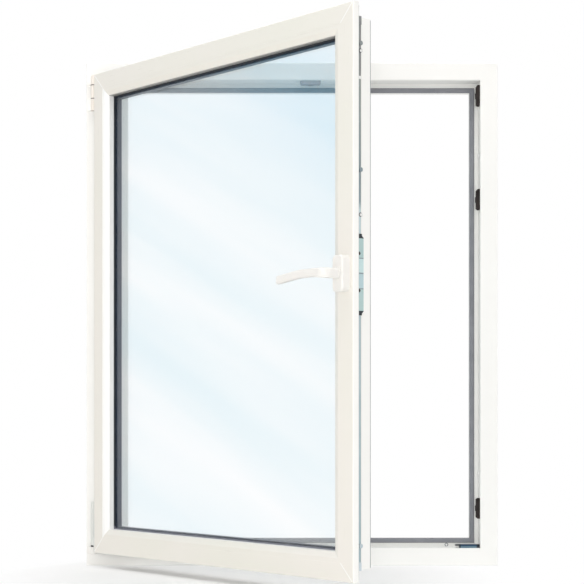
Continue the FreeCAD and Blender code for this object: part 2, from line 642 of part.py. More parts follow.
tilt_keep = new_body("tilt_keep")
tilt_right = rebate.right - dim.tilt_keep_clear
tilt_top = rebate.bottom + dim.tilt_keep_height
bar_low = tilt_top - dim.tilt_keep_bar
tilt_outline = [
    (tilt_right, rebate.bottom), (tilt_right, tilt_top), (tilt_right - dim.tilt_keep_length, tilt_top),
    (tilt_right - dim.tilt_keep_length, bar_low), (tilt_right - dim.tilt_keep_body, bar_low),
    (tilt_right - dim.tilt_keep_body, rebate.bottom),
]
tilt_low_y = groove_y - dim.tilt_keep_width * 0.5
extrude(tilt_keep, "tilt_keep_block", "XZ", tilt_low_y, tilt_low_y + dim.tilt_keep_width, tilt_outline)
tilt_nose = edge_lies(x=tilt_right - dim.tilt_keep_length, z=tilt_top)
round_edges(tilt_keep, "tilt_keep_nose", dim.tilt_keep_bar * 0.8, tilt_nose, chamfer=True)


# Upper hinge

def knuckle(body, name, low, high, bore=None):
    """A hinge knuckle on the turn axis, with a bore where a pin passes."""
    outlines = [Disc(axis_x, axis_y, dim.knuckle_radius)]
    if bore is not None:
        outlines.append(Disc(axis_x, axis_y, bore))
    return extrude(body, name, "XY", low, high, *outlines)


def bracket(body, name, low, high, necks):
    """A bracket's base on the frame's face, and the necks that carry its knuckles."""
    left = axis_x - dim.bracket_reach
    base = box_outline(left, left + dim.bracket_width, room_y - dim.bracket_thick, room_y)
    extrude(body, f"{name}_base", "XY", low, high, base)
    neck_right = axis_x - dim.neck_offset
    neck = box_outline(neck_right - dim.neck_width, neck_right, axis_y, room_y - dim.bracket_thick)
    for number, (neck_low, neck_high) in enumerate(necks, start=1):
        extrude(body, f"{name}_neck_{number}", "XY", neck_low, neck_high, neck)


pin_bore = dim.pin_radius + dim.pin_clear
upper_hinge_low = dim.frame_height - dim.upper_hinge_drop
stay_low = upper_hinge_low + dim.upper_lower_knuckle + dim.knuckle_gap
stay_high = stay_low + dim.stay_knuckle
top_low = stay_high + dim.knuckle_gap
top_high = top_low + dim.upper_top_knuckle
lower_knuckle_high = stay_low - dim.knuckle_gap

upper_hinge = new_body("upper_hinge_bracket")
upper_spans = [(upper_hinge_low, lower_knuckle_high), (top_low, top_high)]
bracket(upper_hinge, "upper_bracket", upper_hinge_low, top_high, upper_spans)
for number, (low, high) in enumerate(upper_spans, start=1):
    knuckle(upper_hinge, f"upper_knuckle_{number}", low, high)
pin_hole = Disc(axis_x, axis_y, pin_bore)
extrude(upper_hinge, "upper_pin_hole", "XY", upper_hinge_low, top_high, pin_hole, cut=True)

hinge_pin = new_body("upper_hinge_pin")
pin_shank = Disc(axis_x, axis_y, dim.pin_radius)
extrude(hinge_pin, "pin_shank", "XY", upper_hinge_low, top_high, pin_shank)
pin_head = Disc(axis_x, axis_y, dim.pin_head_radius)
extrude(hinge_pin, "pin_head", "XY", top_high, top_high + dim.pin_head_height, pin_head)


# Stay arm: it carries the leaf's top and swings out when the leaf tilts

stay_arm = new_body("stay_arm")
knuckle(stay_arm, "stay_knuckle", stay_low, stay_high)
web_back = room_y - dim.stay_web_clear
web_front = web_back - dim.stay_web_thick
web_end = axis_x + dim.stay_web_reach
web_low = stay_low + dim.stay_web_trim
web_high = stay_high - dim.stay_web_trim
bar_top = rebate.top - dim.stay_bar_drop
bar_bottom = bar_top - dim.stay_bar_thick
riser_left = web_end - dim.stay_riser
web_root = axis_x - dim.pin_radius
web_outline = [
    (web_root, web_low), (web_end, web_low), (web_end, bar_top), (riser_left, bar_top),
    (riser_left, web_high), (web_root, web_high),
]
extrude(stay_arm, "stay_web", "XZ", web_front, web_back, web_outline)
web_arm = box_outline(web_root, axis_x + dim.pin_radius, axis_y, web_back)
extrude(stay_arm, "stay_web_root", "XY", web_low, web_high, web_arm)
bar_low_y = groove_y - dim.channel_width * 0.5
bar_high_y = groove_y + dim.channel_width * 0.5
stud_x = axis_x + dim.stay_length
bar_outline = [
    (rebate.left + dim.stay_bar_clear, web_front), (web_end, web_front), (web_end, bar_low_y),
    (stud_x + dim.stay_end, bar_low_y), (stud_x + dim.stay_end, bar_high_y),
    (rebate.left + dim.stay_bar_clear, bar_high_y),
]
extrude(stay_arm, "stay_bar", "XY", bar_bottom, bar_top, bar_outline)
stud_low = sash_rebate.top - dim.channel_depth + dim.stud_clear
extrude(stay_arm, "stay_stud", "XY", stud_low, bar_bottom, Disc(stud_x, groove_y, dim.stud_radius))
extrude(stay_arm, "stay_pin_hole", "XY", stay_low, stay_high, pin_hole, cut=True)
bar_tip = any_of(
    edge_lies(x=stud_x + dim.stay_end, y=bar_low_y),
    edge_lies(x=stud_x + dim.stay_end, y=bar_high_y),
)
round_edges(stay_arm, "stay_tip", dim.channel_width * 0.4, bar_tip)

notch_right = web_end + dim.stay_notch_clear
notch_low = web_low - dim.stay_notch_clear
notch_outline = box_outline(sash_border.left, notch_right, notch_low, sash_border.top)
extrude(lip_seal, "sash_gasket_notch", "XZ", lip_back_y, lip_seal_y, notch_outline, cut=True)


# Lower hinge: the barrel turns on the pivot, and the leaf tilts on the barrel's trunnion

boss_high = dim.lower_boss_low + dim.lower_boss_height
collar_high = boss_high + dim.collar_height
barrel_low = collar_high + dim.collar_clear
barrel_high = barrel_low + dim.barrel_height
pivot_high = collar_high + dim.pivot_height

lower_hinge = new_body("lower_hinge_bracket")
bracket(lower_hinge, "lower_bracket", dim.lower_boss_low, boss_high, [(dim.lower_boss_low, boss_high)])
knuckle(lower_hinge, "lower_boss", dim.lower_boss_low, boss_high)
extrude(lower_hinge, "lower_collar", "XY", boss_high, collar_high, Disc(axis_x, axis_y, dim.collar_radius))
extrude(lower_hinge, "lower_pivot", "XY", collar_high, pivot_high, Disc(axis_x, axis_y, dim.pivot_radius))

barrel = new_body("lower_hinge_barrel")
knuckle(barrel, "barrel_cover", barrel_low, barrel_high)
tab_left = axis_x + dim.knuckle_radius + dim.tab_clear
tab_right = tab_left + dim.tab_thick
tab_low_y = axis_y - dim.tab_width * 0.5
tab_high_y = axis_y + dim.tab_width * 0.5
tab_low = dim.tilt_height - dim.tab_foot
tab_high = barrel_low + dim.tab_rise
tab_outline = box_outline(tab_left, tab_right, tab_low_y, tab_high_y)
extrude(barrel, "barrel_tab", "XY", tab_low, tab_high, tab_outline)
tab_root = box_outline(axis_x, tab_left, tab_low_y, tab_high_y)
extrude(barrel, "barrel_tab_root", "XY", barrel_low, tab_high, tab_root)
trunnion = Disc(axis_y, dim.tilt_height, dim.trunnion_radius)
extrude(barrel, "barrel_trunnion", "YZ", tab_right, sash_border.left - dim.tab_clear, trunnion)
pivot_bore = Disc(axis_x, axis_y, dim.pivot_radius + dim.pin_clear)
extrude(barrel, "barrel_bore", "XY", barrel_low, pivot_high + dim.pivot_end_clear, pivot_bore, cut=True)
round_edges(barrel, "barrel_top", dim.cover_bevel, edge_lies(z=barrel_high), chamfer=True)

leaf_plate = new_body("lower_hinge_leaf_plate")
plate_left = tab_right + dim.tab_clear
plate_outline = box_outline(tab_low_y, tab_high_y, tab_low, tab_low + dim.leaf_plate_height)
trunnion_bore = Disc(axis_y, dim.tilt_height, dim.trunnion_radius + dim.pin_clear)
extrude(leaf_plate, "leaf_plate_sheet", "YZ", plate_left, sash_border.left, plate_outline, trunnion_bore)
leaf_parts.append(leaf_plate)


# Drive rods, faceplates, gear plate and corner drives in the leaf's fitting groove

plate_x = sash_rebate.right - dim.plate_recess
plate_out_x = plate_x + dim.faceplate_thick
plate_half = dim.plate_width * 0.5 - dim.faceplate_side_clear
plate_low_y = groove_y - plate_half
plate_high_y = groove_y + plate_half
rod_low_y = groove_y - dim.rod_width * 0.5
rod_high_y = groove_y + dim.rod_width * 0.5
rod_x = plate_x - dim.rod_clear
cam_low_x = plate_out_x + dim.cam_lift
slot_half = dim.cam_stem_radius + dim.slot_clear
slot_run = dim.drive_travel + slot_half

lock_cams = [low - dim.cam_entry for low in lock_keeps.values()]
lock_rod = new_body("lock_rod")
rod_ends = (lock_cams[-1] - dim.rod_margin, lock_cams[0] + dim.rod_margin)
rod_outline = box_outline(rod_x - dim.rod_thick, rod_x, rod_low_y, rod_high_y)
extrude(lock_rod, "lock_rod_bar", "XY", *rod_ends, rod_outline)
lock_stems = [Disc(groove_y, height, dim.cam_stem_radius) for height in lock_cams]
lock_heads = [Disc(groove_y, height, dim.cam_radius) for height in lock_cams]
extrude(lock_rod, "lock_rod_stems", "YZ", rod_x, cam_low_x, *lock_stems)
extrude(lock_rod, "lock_rod_cams", "YZ", cam_low_x, cam_low_x + dim.cam_height, *lock_heads)

lock_plate = new_body("lock_faceplate")
lock_plate_low = sash_rebate.bottom + dim.faceplate_margin
lock_plate_high = lock_cams[0] - slot_run - dim.corner_tail
lock_outline = box_outline(plate_low_y, plate_high_y, lock_plate_low, lock_plate_high)
corner_slot, *lock_slots = [
    box_outline(groove_y - slot_half, groove_y + slot_half, height - slot_run, height + slot_run)
    for height in lock_cams
]
extrude(lock_plate, "lock_faceplate_sheet", "YZ", plate_x, plate_out_x, lock_outline, *lock_slots)

top_z = sash_rebate.top - dim.plate_recess
top_out_z = top_z + dim.faceplate_thick
head_cam = head_keep_far + dim.cam_entry
top_rod = new_body("top_rod")
top_rod_ends = (head_cam - dim.rod_margin, head_cam + dim.top_rod_length)
top_rod_bar = box_outline(*top_rod_ends, rod_low_y, rod_high_y)
top_rod_z = top_z - dim.rod_clear
cam_low_z = top_out_z + dim.cam_lift
extrude(top_rod, "top_rod_bar", "XY", top_rod_z - dim.rod_thick, top_rod_z, top_rod_bar)
extrude(top_rod, "top_rod_stem", "XY", top_rod_z, cam_low_z, Disc(head_cam, groove_y, dim.cam_stem_radius))
top_cam = Disc(head_cam, groove_y, dim.cam_radius)
extrude(top_rod, "top_rod_cam", "XY", cam_low_z, cam_low_z + dim.cam_height, top_cam)

top_plate = new_body("top_faceplate")
top_plate_left = sash_rebate.left + dim.faceplate_margin
top_plate_right = sash_rebate.right - dim.corner_reach - dim.corner_gap
top_outline = box_outline(top_plate_left, top_plate_right, plate_low_y, plate_high_y)
stay_slot_half = dim.stud_radius + dim.stay_slot_clear
top_slots = [
    box_outline(head_cam - slot_run, head_cam + slot_run, groove_y - slot_half, groove_y + slot_half),
    box_outline(
        stud_x - dim.stay_slot_run, stud_x + stay_slot_half,
        groove_y - stay_slot_half, groove_y + stay_slot_half,
    ),
]
extrude(top_plate, "top_faceplate_sheet", "XY", top_z, top_out_z, top_outline, *top_slots)

gear = new_body("gear_plate")
gear_low = dim.handle_height - dim.gear_height * 0.5
gear_high = gear_low + dim.gear_height
gear_far_y = plate_low_y + dim.gear_width
gear_outline = [
    (plate_low_y, gear_low + dim.gear_notch), (groove_y, gear_low + dim.gear_notch), (groove_y, gear_low),
    (gear_far_y, gear_low), (gear_far_y, gear_high), (groove_y, gear_high),
    (groove_y, gear_high - dim.gear_notch), (plate_low_y, gear_high - dim.gear_notch),
]
gear_out_x = sash_rebate.right + dim.gear_thick
extrude(gear, "gear_plate_sheet", "YZ", sash_rebate.right, gear_out_x, gear_outline)
cover_sides = (plate_low_y + dim.gear_cover_inset, gear_far_y - dim.gear_cover_inset)
cover_near = dim.gear_cover_seam * 0.5
cover_far = dim.gear_cover_height * 0.5
gear_covers = [
    box_outline(*cover_sides, dim.handle_height - cover_far, dim.handle_height - cover_near),
    box_outline(*cover_sides, dim.handle_height + cover_near, dim.handle_height + cover_far),
]
extrude(gear, "gear_covers", "YZ", gear_out_x, gear_out_x + dim.gear_cover_rise, *gear_covers)


def corner_drive(label, way, corner, plate_end, *slots):
    """An angled corner drive: a leg in line with the lock faceplate and one along the next rail."""
    body = new_body(label)
    rail_floor = corner - dim.plate_recess * way
    rail_out = rail_floor + dim.faceplate_thick * way
    stile_end = plate_end + dim.corner_gap * way
    rail_end = sash_rebate.right - dim.corner_reach
    angle = [
        (plate_x, rail_floor), (rail_end, rail_floor), (rail_end, rail_out), (plate_out_x, rail_out),
        (plate_out_x, stile_end), (plate_x, stile_end),
    ]
    extrude(body, f"{label}_angle", "XZ", plate_low_y, plate_high_y, angle)
    block_far = corner + dim.corner_overrun * way
    block_near = block_far - dim.corner_block * way
    block_ends = (block_near, block_far) if way > 0 else (block_far, block_near)
    block = box_outline(plate_low_y, plate_high_y, *block_ends)
    extrude(body, f"{label}_block", "YZ", plate_out_x, plate_out_x + dim.corner_rise, block)
    if slots:
        extrude(body, f"{label}_slots", "YZ", plate_x, plate_out_x, *slots, cut=True)
    leaf_parts.append(body)


corner_drive("corner_drive_top", 1, sash_rebate.top, lock_plate_high, corner_slot)
corner_drive("corner_drive_bottom", -1, sash_rebate.bottom, lock_plate_low)
leaf_parts += [lock_rod, lock_plate, top_rod, top_plate, gear]


# Handle

handle_x = sash_border.right - dim.handle_edge
rosette = new_body("handle_rosette")
rosette_low = dim.handle_height - dim.rosette_height * 0.5
rosette_left = handle_x - dim.rosette_width * 0.5
rosette_outline = box_outline(
    rosette_left, rosette_left + dim.rosette_width, rosette_low, rosette_low + dim.rosette_height
)
rosette_front = sash_face_y - dim.rosette_thick
extrude(rosette, "rosette_block", "XZ", rosette_front, sash_face_y, rosette_outline)
rosette_corners = any_of(
    *[edge_lies(x=x, z=z) for x in (rosette_left, rosette_left + dim.rosette_width)
      for z in (rosette_low, rosette_low + dim.rosette_height)]
)
round_edges(rosette, "rosette_corners", dim.rosette_corner, rosette_corners)
round_edges(rosette, "rosette_front", dim.rosette_bevel, edge_lies(y=rosette_front), chamfer=True)
leaf_parts.append(rosette)


# The lever is an angle seen from above: a neck out of the rosette that bends into a tapered grip.
lever = new_body("handle_lever")


def lever_point(along, out):
    return handle_x - along, sash_face_y - out


neck_half = dim.handle_neck_width * 0.5
neck_foot = dim.rosette_thick + dim.handle_clear
root_front = dim.handle_stand + dim.grip_root_thick * 0.5
root_back = dim.handle_stand - dim.grip_root_thick * 0.5
tip_front = dim.handle_stand + dim.grip_tip_thick * 0.5
tip_back = dim.handle_stand - dim.grip_tip_thick * 0.5
lever_places = [
    (-neck_half, neck_foot), (neck_half, neck_foot), (neck_half, root_back),
    (dim.handle_length, tip_back), (dim.handle_length, tip_front), (-neck_half, root_front),
]
lever_corners = [lever_point(along, out) for along, out in lever_places]
lever_top = dim.handle_height + dim.grip_top
root_bottom = lever_top - dim.grip_root_height
blank_bottom = root_bottom - dim.grip_droop
extrude(lever, "lever_angle", "XY", blank_bottom, lever_top, lever_corners)
inner_bend, outer_bend = lever_corners[2], lever_corners[5]
tip_edges = [edge_lies(x=x, y=y) for x, y in lever_corners[3:5]]
round_edges(lever, "lever_outer_bend", dim.grip_outer_bend, edge_lies(x=outer_bend[0], y=outer_bend[1]))
round_edges(lever, "lever_inner_bend", dim.grip_inner_bend, edge_lies(x=inner_bend[0], y=inner_bend[1]))
round_edges(lever, "lever_tip", dim.grip_tip_round, any_of(*tip_edges))

# The grip's underside rises from the neck in an arch, and its outer half bends down to the tip.
grip_bottom = lever_top - dim.grip_height
arch_start = handle_x - dim.grip_arch_start
arch_end = arch_start - dim.grip_arch_run
droop_start = handle_x - dim.grip_droop_start
tip = handle_x - dim.handle_length
past_tip = tip - dim.lever_cut_spare
past_neck = handle_x + neck_half + dim.lever_cut_spare
above = lever_top + dim.lever_cut_spare
below = blank_bottom - dim.lever_cut_spare
tip_top = lever_top - dim.grip_droop
tip_bottom = grip_bottom - dim.grip_droop
under_cut = [
    (past_neck, root_bottom), (arch_start, root_bottom), (arch_end, grip_bottom),
    (droop_start, grip_bottom), (tip, tip_bottom), (past_tip, tip_bottom),
    (past_tip, below), (past_neck, below),
]
over_cut = [
    (droop_start, lever_top), (tip, tip_top), (past_tip, tip_top),
    (past_tip, above), (droop_start, above),
]
cut_depth = (sash_face_y - root_front - dim.lever_cut_spare, sash_face_y - neck_foot)
extrude(lever, "lever_side_shape", "XZ", *cut_depth, under_cut, over_cut, cut=True)
arch_creases = any_of(edge_lies(x=arch_start, z=root_bottom), edge_lies(x=arch_end, z=grip_bottom))
round_edges(lever, "lever_arch_round", dim.grip_arch_round, arch_creases)
droop_creases = any_of(edge_lies(x=droop_start, z=grip_bottom), edge_lies(x=droop_start, z=lever_top))
round_edges(lever, "lever_droop_round", dim.grip_droop_round, droop_creases)
foot_y = (sash_face_y - neck_foot).number
lever_middle = ((tip_top + grip_bottom) * 0.5).number


def rim(upper):
    """A test for the edges round the lever's top or underside, without those at the neck's foot."""

    def lies(edge):
        ends = [vertex.Point for vertex in edge.Vertexes]
        one_side = all((end.z > lever_middle) == upper for end in ends)
        return one_side and any(abs(end.y - foot_y) > 0.01 for end in ends)

    return lies


round_edges(lever, "lever_top_edges", dim.grip_round, rim(True))
round_edges(lever, "lever_bottom_edges", dim.grip_bevel, rim(False), chamfer=True)
collar = Disc(handle_x, dim.handle_height, dim.handle_collar)
collar_y = sash_face_y - neck_foot
extrude(lever, "lever_collar", "XZ", collar_y - dim.handle_collar_height, collar_y, collar)
leaf_parts.append(lever)

for item in leaf_parts + [stay_arm, barrel]:
    turn_open(item)


# Check and export

doc.recompute()
for item in doc.Objects:
    if {"Invalid", "Error"} & set(item.State):
        raise RuntimeError(f"{item.Label} failed: {item.State}")
os.makedirs("parts", exist_ok=True)
for item in parts:
    if item.Shape.isNull() or not item.Shape.isValid():
        raise RuntimeError(f"{item.Label} has no valid shape")
for item in parts:
    item.Shape.exportStep(f"parts/{item.Label}.step")
    box = item.Shape.BoundBox
    print(f"{item.Label}: {len(item.Shape.Solids)} solids, {item.Shape.Volume:.0f} mm3, "
          f"x {box.XMin:.1f} {box.XMax:.1f} y {box.YMin:.1f} {box.YMax:.1f} z {box.ZMin:.1f} {box.ZMax:.1f}")
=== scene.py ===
# %% [markdown]
# # A white tilt and turn window
# The window stands with its leaf swung 50 degrees into the room. Its rails, panes, seals,
# hinges, rods and handle arrive as finished solids, each in its real place. Here they get
# their finishes, the small pieces that a fitter adds (screws, weld seams, clips) and a plain
# studio. Nothing that is loaded is moved or reshaped.

# %% Load the solids
import json
from math import pi, radians

import bmesh
import bpy
from mathutils import Matrix, Vector


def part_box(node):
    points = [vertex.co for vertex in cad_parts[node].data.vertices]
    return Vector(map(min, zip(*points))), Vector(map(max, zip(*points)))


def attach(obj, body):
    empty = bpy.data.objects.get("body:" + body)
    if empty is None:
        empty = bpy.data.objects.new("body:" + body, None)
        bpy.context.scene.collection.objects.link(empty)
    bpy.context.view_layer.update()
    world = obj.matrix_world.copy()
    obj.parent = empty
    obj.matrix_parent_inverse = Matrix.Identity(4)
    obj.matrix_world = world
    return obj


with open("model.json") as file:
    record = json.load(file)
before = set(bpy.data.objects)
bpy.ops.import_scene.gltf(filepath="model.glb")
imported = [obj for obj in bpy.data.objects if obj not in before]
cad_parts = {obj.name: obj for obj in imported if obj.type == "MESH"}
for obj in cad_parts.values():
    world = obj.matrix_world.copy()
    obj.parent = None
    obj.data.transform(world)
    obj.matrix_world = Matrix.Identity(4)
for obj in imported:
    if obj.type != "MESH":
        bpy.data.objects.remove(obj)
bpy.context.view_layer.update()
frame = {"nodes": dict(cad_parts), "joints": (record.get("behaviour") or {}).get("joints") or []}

# %% [markdown]
# The leaf's pieces are easiest to think about with the leaf shut, when all its edges run along
# X, Y and Z. The turn joint says where the hinge is and how far it stands open, so one matrix
# swings a shut piece to its place, and its inverse gives a leaf solid's box as if shut.

# %% The swing of the leaf
MM = 0.001
turn_joint = [joint for joint in frame["joints"] if joint["name"] == "turn"][0]
hinge = Vector((*turn_joint["pos_m"][:2], 0))
open_angle = radians(-min(turn_joint["range_deg"]))
swing = Matrix.Translation(hinge) @ Matrix.Rotation(-open_angle, 4, "Z") @ Matrix.Translation(-hinge)


def shut_box(node):
    """Lowest and highest corners of a leaf solid with the leaf swung shut."""
    back = swing.inverted()
    corners = [back @ vertex.co for vertex in frame["nodes"][node].data.vertices]
    low = Vector([min(corner[axis] for corner in corners) for axis in range(3)])
    high = Vector([max(corner[axis] for corner in corners) for axis in range(3)])
    return low, high


print("hinge at", list(hinge), "lock stile shut", [list(corner) for corner in shut_box("sash_lock_stile")])

# %% [markdown]
# ## Camera
# The photo was taken with a level camera a little above the sill, which keeps the uprights
# upright. A lens shift then lifts the view, as a view camera does. Tilting the camera up would
# be simpler, but it would make the jambs lean together.

# %% Place the camera
CAMERA_PLACE = (0.0, -3.640, 0.335)
CAMERA_LENS_MM = 101.5
CAMERA_LIFT = 0.2063
camera_data = bpy.data.cameras.new("photo_camera")
camera_data.lens = CAMERA_LENS_MM
camera_data.shift_y = CAMERA_LIFT
camera = bpy.data.objects.new("photo_camera", camera_data)
camera.location = CAMERA_PLACE
camera.rotation_euler = (pi / 2, 0, 0)
bpy.context.scene.collection.objects.link(camera)
bpy.context.scene.camera = camera
print("camera at", CAMERA_PLACE)

# %% [markdown]
# ## Node helpers
# A finish is a small tree of shader nodes. Adding nodes by hand in the editor is the usual way,
# and a few helpers do the same here: they add a node and set or link its inputs, mix two
# colours, and start a node group with named sockets.

# %% Helpers for shader nodes
MIX_FACTOR, MIX_A, MIX_B, MIX_RESULT = 0, 6, 7, 2


def fill_inputs(tree, node, inputs):
    """Gives each named input of a node a value, or a link from another node."""
    for name, value in inputs.items():
        if isinstance(value, bpy.types.NodeSocket):
            tree.links.new(value, node.inputs[name])
        else:
            node.inputs[name].default_value = value


def add_node(tree, kind, inputs=None, **settings):
    """Adds a shader node with its settings, and fills its inputs."""
    made = tree.nodes.new("ShaderNode" + kind)
    for name, value in settings.items():
        setattr(made, name, value)
    fill_inputs(tree, made, inputs or {})
    return made


def mix_colors(tree, factor, first, second, way="MIX"):
    """Mixes two colours, and returns the socket of the result."""
    inputs = {MIX_FACTOR: factor, MIX_A: first, MIX_B: second}
    mixed = add_node(tree, "Mix", inputs, data_type="RGBA", blend_type=way)
    return mixed.outputs[MIX_RESULT]


def new_group(name, inputs, outputs):
    """Starts a shader node group with the given sockets; returns its tree and both end nodes."""
    tree = bpy.data.node_groups.new(name, "ShaderNodeTree")
    for label, kind in inputs.items():
        tree.interface.new_socket(label, in_out="INPUT", socket_type="NodeSocket" + kind)
    for label, kind in outputs.items():
        tree.interface.new_socket(label, in_out="OUTPUT", socket_type="NodeSocket" + kind)
    return tree, tree.nodes.new("NodeGroupInput"), tree.nodes.new("NodeGroupOutput")


print("node helpers ready")

# %% [markdown]
# ## Two shared effects
# Nothing on a real window is one flat colour. Plastic yellows by a hair from place to place, and
# every surface has a fine grain from the tool that made it. Both effects are used by nearly all
# the finishes, so each is a node group. Tone drift mixes two close colours by a soft noise. A
# painted picture could do that too, but noise has no seams and fits any piece.

# %% Tone drift
tone_drift, drift_in, drift_out = new_group(
    "tone_drift",
    {"Vector": "Vector", "Scale": "Float", "Light": "Color", "Dark": "Color"},
    {"Color": "Color"},
)
drift_noise = add_node(
    tone_drift, "TexNoise",
    {"Vector": drift_in.outputs["Vector"], "Scale": drift_in.outputs["Scale"], "Detail": 3.0},
)
drift_spread = add_node(
    tone_drift, "MapRange", {"Value": drift_noise.outputs["Fac"], "From Min": 0.3, "From Max": 0.7}
)
drift_mix = mix_colors(
    tone_drift, drift_spread.outputs["Result"], drift_in.outputs["Dark"], drift_in.outputs["Light"]
)
tone_drift.links.new(drift_mix, drift_out.inputs["Color"])
print("group", tone_drift.name)

# %% [markdown]
# Skin grain gives a roughness that wanders round a middle value, and a height for the bump. One
# noise serves both, because on real plastic and metal the duller spots are the small dents.

# %% Skin grain
skin_grain, grain_in, grain_out = new_group(
    "skin_grain",
    {"Vector": "Vector", "Scale": "Float", "Roughness": "Float", "Spread": "Float"},
    {"Roughness": "Float", "Height": "Float"},
)
grain_noise = add_node(
    skin_grain, "TexNoise",
    {"Vector": grain_in.outputs["Vector"], "Scale": grain_in.outputs["Scale"], "Detail": 2.0},
)
grain_centred = add_node(skin_grain, "Math", {0: grain_noise.outputs["Fac"], 1: 0.5}, operation="SUBTRACT")
grain_rough = add_node(
    skin_grain, "Math",
    {0: grain_centred.outputs[0], 1: grain_in.outputs["Spread"], 2: grain_in.outputs["Roughness"]},
    operation="MULTIPLY_ADD",
)
skin_grain.links.new(grain_rough.outputs[0], grain_out.inputs["Roughness"])
skin_grain.links.new(grain_noise.outputs["Fac"], grain_out.inputs["Height"])
print("group", skin_grain.name)

# %% [markdown]
# ## Starting a finish
# Every finish reads Object coordinates, turned so that the leaf's patterns follow the leaf and
# not the room, and stretched along the way that the piece was drawn or brushed. The Principled
# shader takes the tone, the roughness and the bump. What is the same all over is plain, and is
# set on the shader's own sockets.

# %% A finish from the two effects
ALONG = {"x": (0.02, 1, 1), "z": (1, 1, 0.02), "none": (1, 1, 1)}
RELIEF_DEPTH = 0.2 * MM


def shader_of(material):
    return material.node_tree.nodes["Principled BSDF"]


def drifting_tone(tree, vector, scale, tones):
    """Places the tone drift in a material, between a light and a dark tone."""
    light, dark = tones
    inputs = {"Vector": vector, "Scale": scale, "Light": (*light, 1), "Dark": (*dark, 1)}
    return add_node(tree, "Group", inputs, node_tree=tone_drift).outputs["Color"]


def make_finish(
    name, tones, grain, roughness, spread, bump, drift=4.0, along="none", turned=False, plain=None
):
    """A material with drifting tone and a fine grain, stretched along an axis of the piece."""
    material = bpy.data.materials.new(name)
    material.use_nodes = True
    tree = material.node_tree
    place = add_node(tree, "TexCoord")
    leaf_turn = (0, 0, open_angle if turned else 0)
    lined_up = add_node(tree, "Mapping", {"Vector": place.outputs["Object"], "Rotation": leaf_turn})
    drawn = add_node(tree, "Mapping", {"Vector": lined_up.outputs["Vector"], "Scale": ALONG[along]})
    skin = add_node(
        tree, "Group",
        {"Vector": drawn.outputs["Vector"], "Scale": grain, "Roughness": roughness, "Spread": spread},
        node_tree=skin_grain,
    )
    relief = add_node(
        tree, "Bump", {"Height": skin.outputs["Height"], "Strength": bump, "Distance": RELIEF_DEPTH}
    )
    fill_inputs(tree, shader_of(material), {
        "Base Color": drifting_tone(tree, lined_up.outputs["Vector"], drift, tones),
        "Roughness": skin.outputs["Roughness"], "Normal": relief.outputs["Normal"], **(plain or {}),
    })
    return material


def dress(material, *nodes):
    """Gives a finish to solids of the frame."""
    for node in nodes:
        piece = frame["nodes"][node]
        piece.data.materials.clear()
        piece.data.materials.append(material)


print("finish helper ready")

# %% [markdown]
# ## Changing a tone from place to place
# A strip of steel may be darker at one end, and a hinge may be cream at the knuckle and white at
# its plate. Cutting such a piece in two would be false, so the finish changes instead. One
# helper mixes another colour into the tone that a finish has so far. The other multiplies the
# tone by a row of colours along an axis, with hard steps or soft ones.

# %% Helpers that change a tone
def blend_tone(material, factor, color, way="MIX"):
    """Mixes a colour into the tone that a finish has so far."""
    tree = material.node_tree
    tone = shader_of(material).inputs["Base Color"]
    tree.links.new(mix_colors(tree, factor, tone.links[0].from_socket, color, way), tone)


def tint_along(material, axis, steps, change):
    """Multiplies a finish's tone by colours that change along an axis: pairs of metres and colour."""
    tree = material.node_tree
    place = add_node(tree, "TexCoord")
    parts = add_node(tree, "SeparateXYZ", {"Vector": place.outputs["Object"]})
    low, high = steps[0][0], steps[-1][0]
    share = add_node(tree, "MapRange", {"Value": parts.outputs[axis], "From Min": low, "From Max": high})
    colors = add_node(tree, "ValToRGB", {"Fac": share.outputs["Result"]})
    ramp = colors.color_ramp
    ramp.interpolation = change
    while len(ramp.elements) < len(steps):
        ramp.elements.new(1.0)
    for stop, (metres, color) in zip(ramp.elements, steps):
        stop.position = (metres - low) / (high - low)
        stop.color = (*color, 1)
    blend_tone(material, 1.0, colors.outputs["Color"], "MULTIPLY")


print("tone helpers ready")

# %% [markdown]
# ## White window plastic
# The frame, leaf and beads are extruded plastic: glossy, a warm white, with very faint lines
# along the profile where it left the die. The leaf's room side is painted cream, a painted warm
# light on the faces that turn to the room, while its edges and rebates show the white plastic.
# Two materials on one rail would need its faces sorted by hand, so one finish asks which way the
# surface faces.

# %% Painted warm light on the room side
PAINTED_WARM_TONES = ((0.835, 0.805, 0.753), (0.812, 0.797, 0.726))
PAINTED_WARM_DRIFT = 5.0
leaf_front = swing.to_3x3() @ Vector((0, -1, 0))


def paint_warm_light(material, edge):
    """Paints a warm cream onto surfaces that face the room, a painted warm light; edge is where it fades in,
    as a cosine.
    """
    tree = material.node_tree
    low, high = edge
    place = add_node(tree, "TexCoord")
    painted_warmth = drifting_tone(tree, place.outputs["Object"], PAINTED_WARM_DRIFT, PAINTED_WARM_TONES)
    facing = add_node(
        tree, "VectorMath", {0: place.outputs["Normal"], 1: leaf_front}, operation="DOT_PRODUCT"
    )
    share = add_node(tree, "MapRange", {"Value": facing.outputs["Value"], "From Min": low, "From Max": high})
    blend_tone(material, share.outputs["Result"], painted_warmth)


print("leaf faces", list(leaf_front))
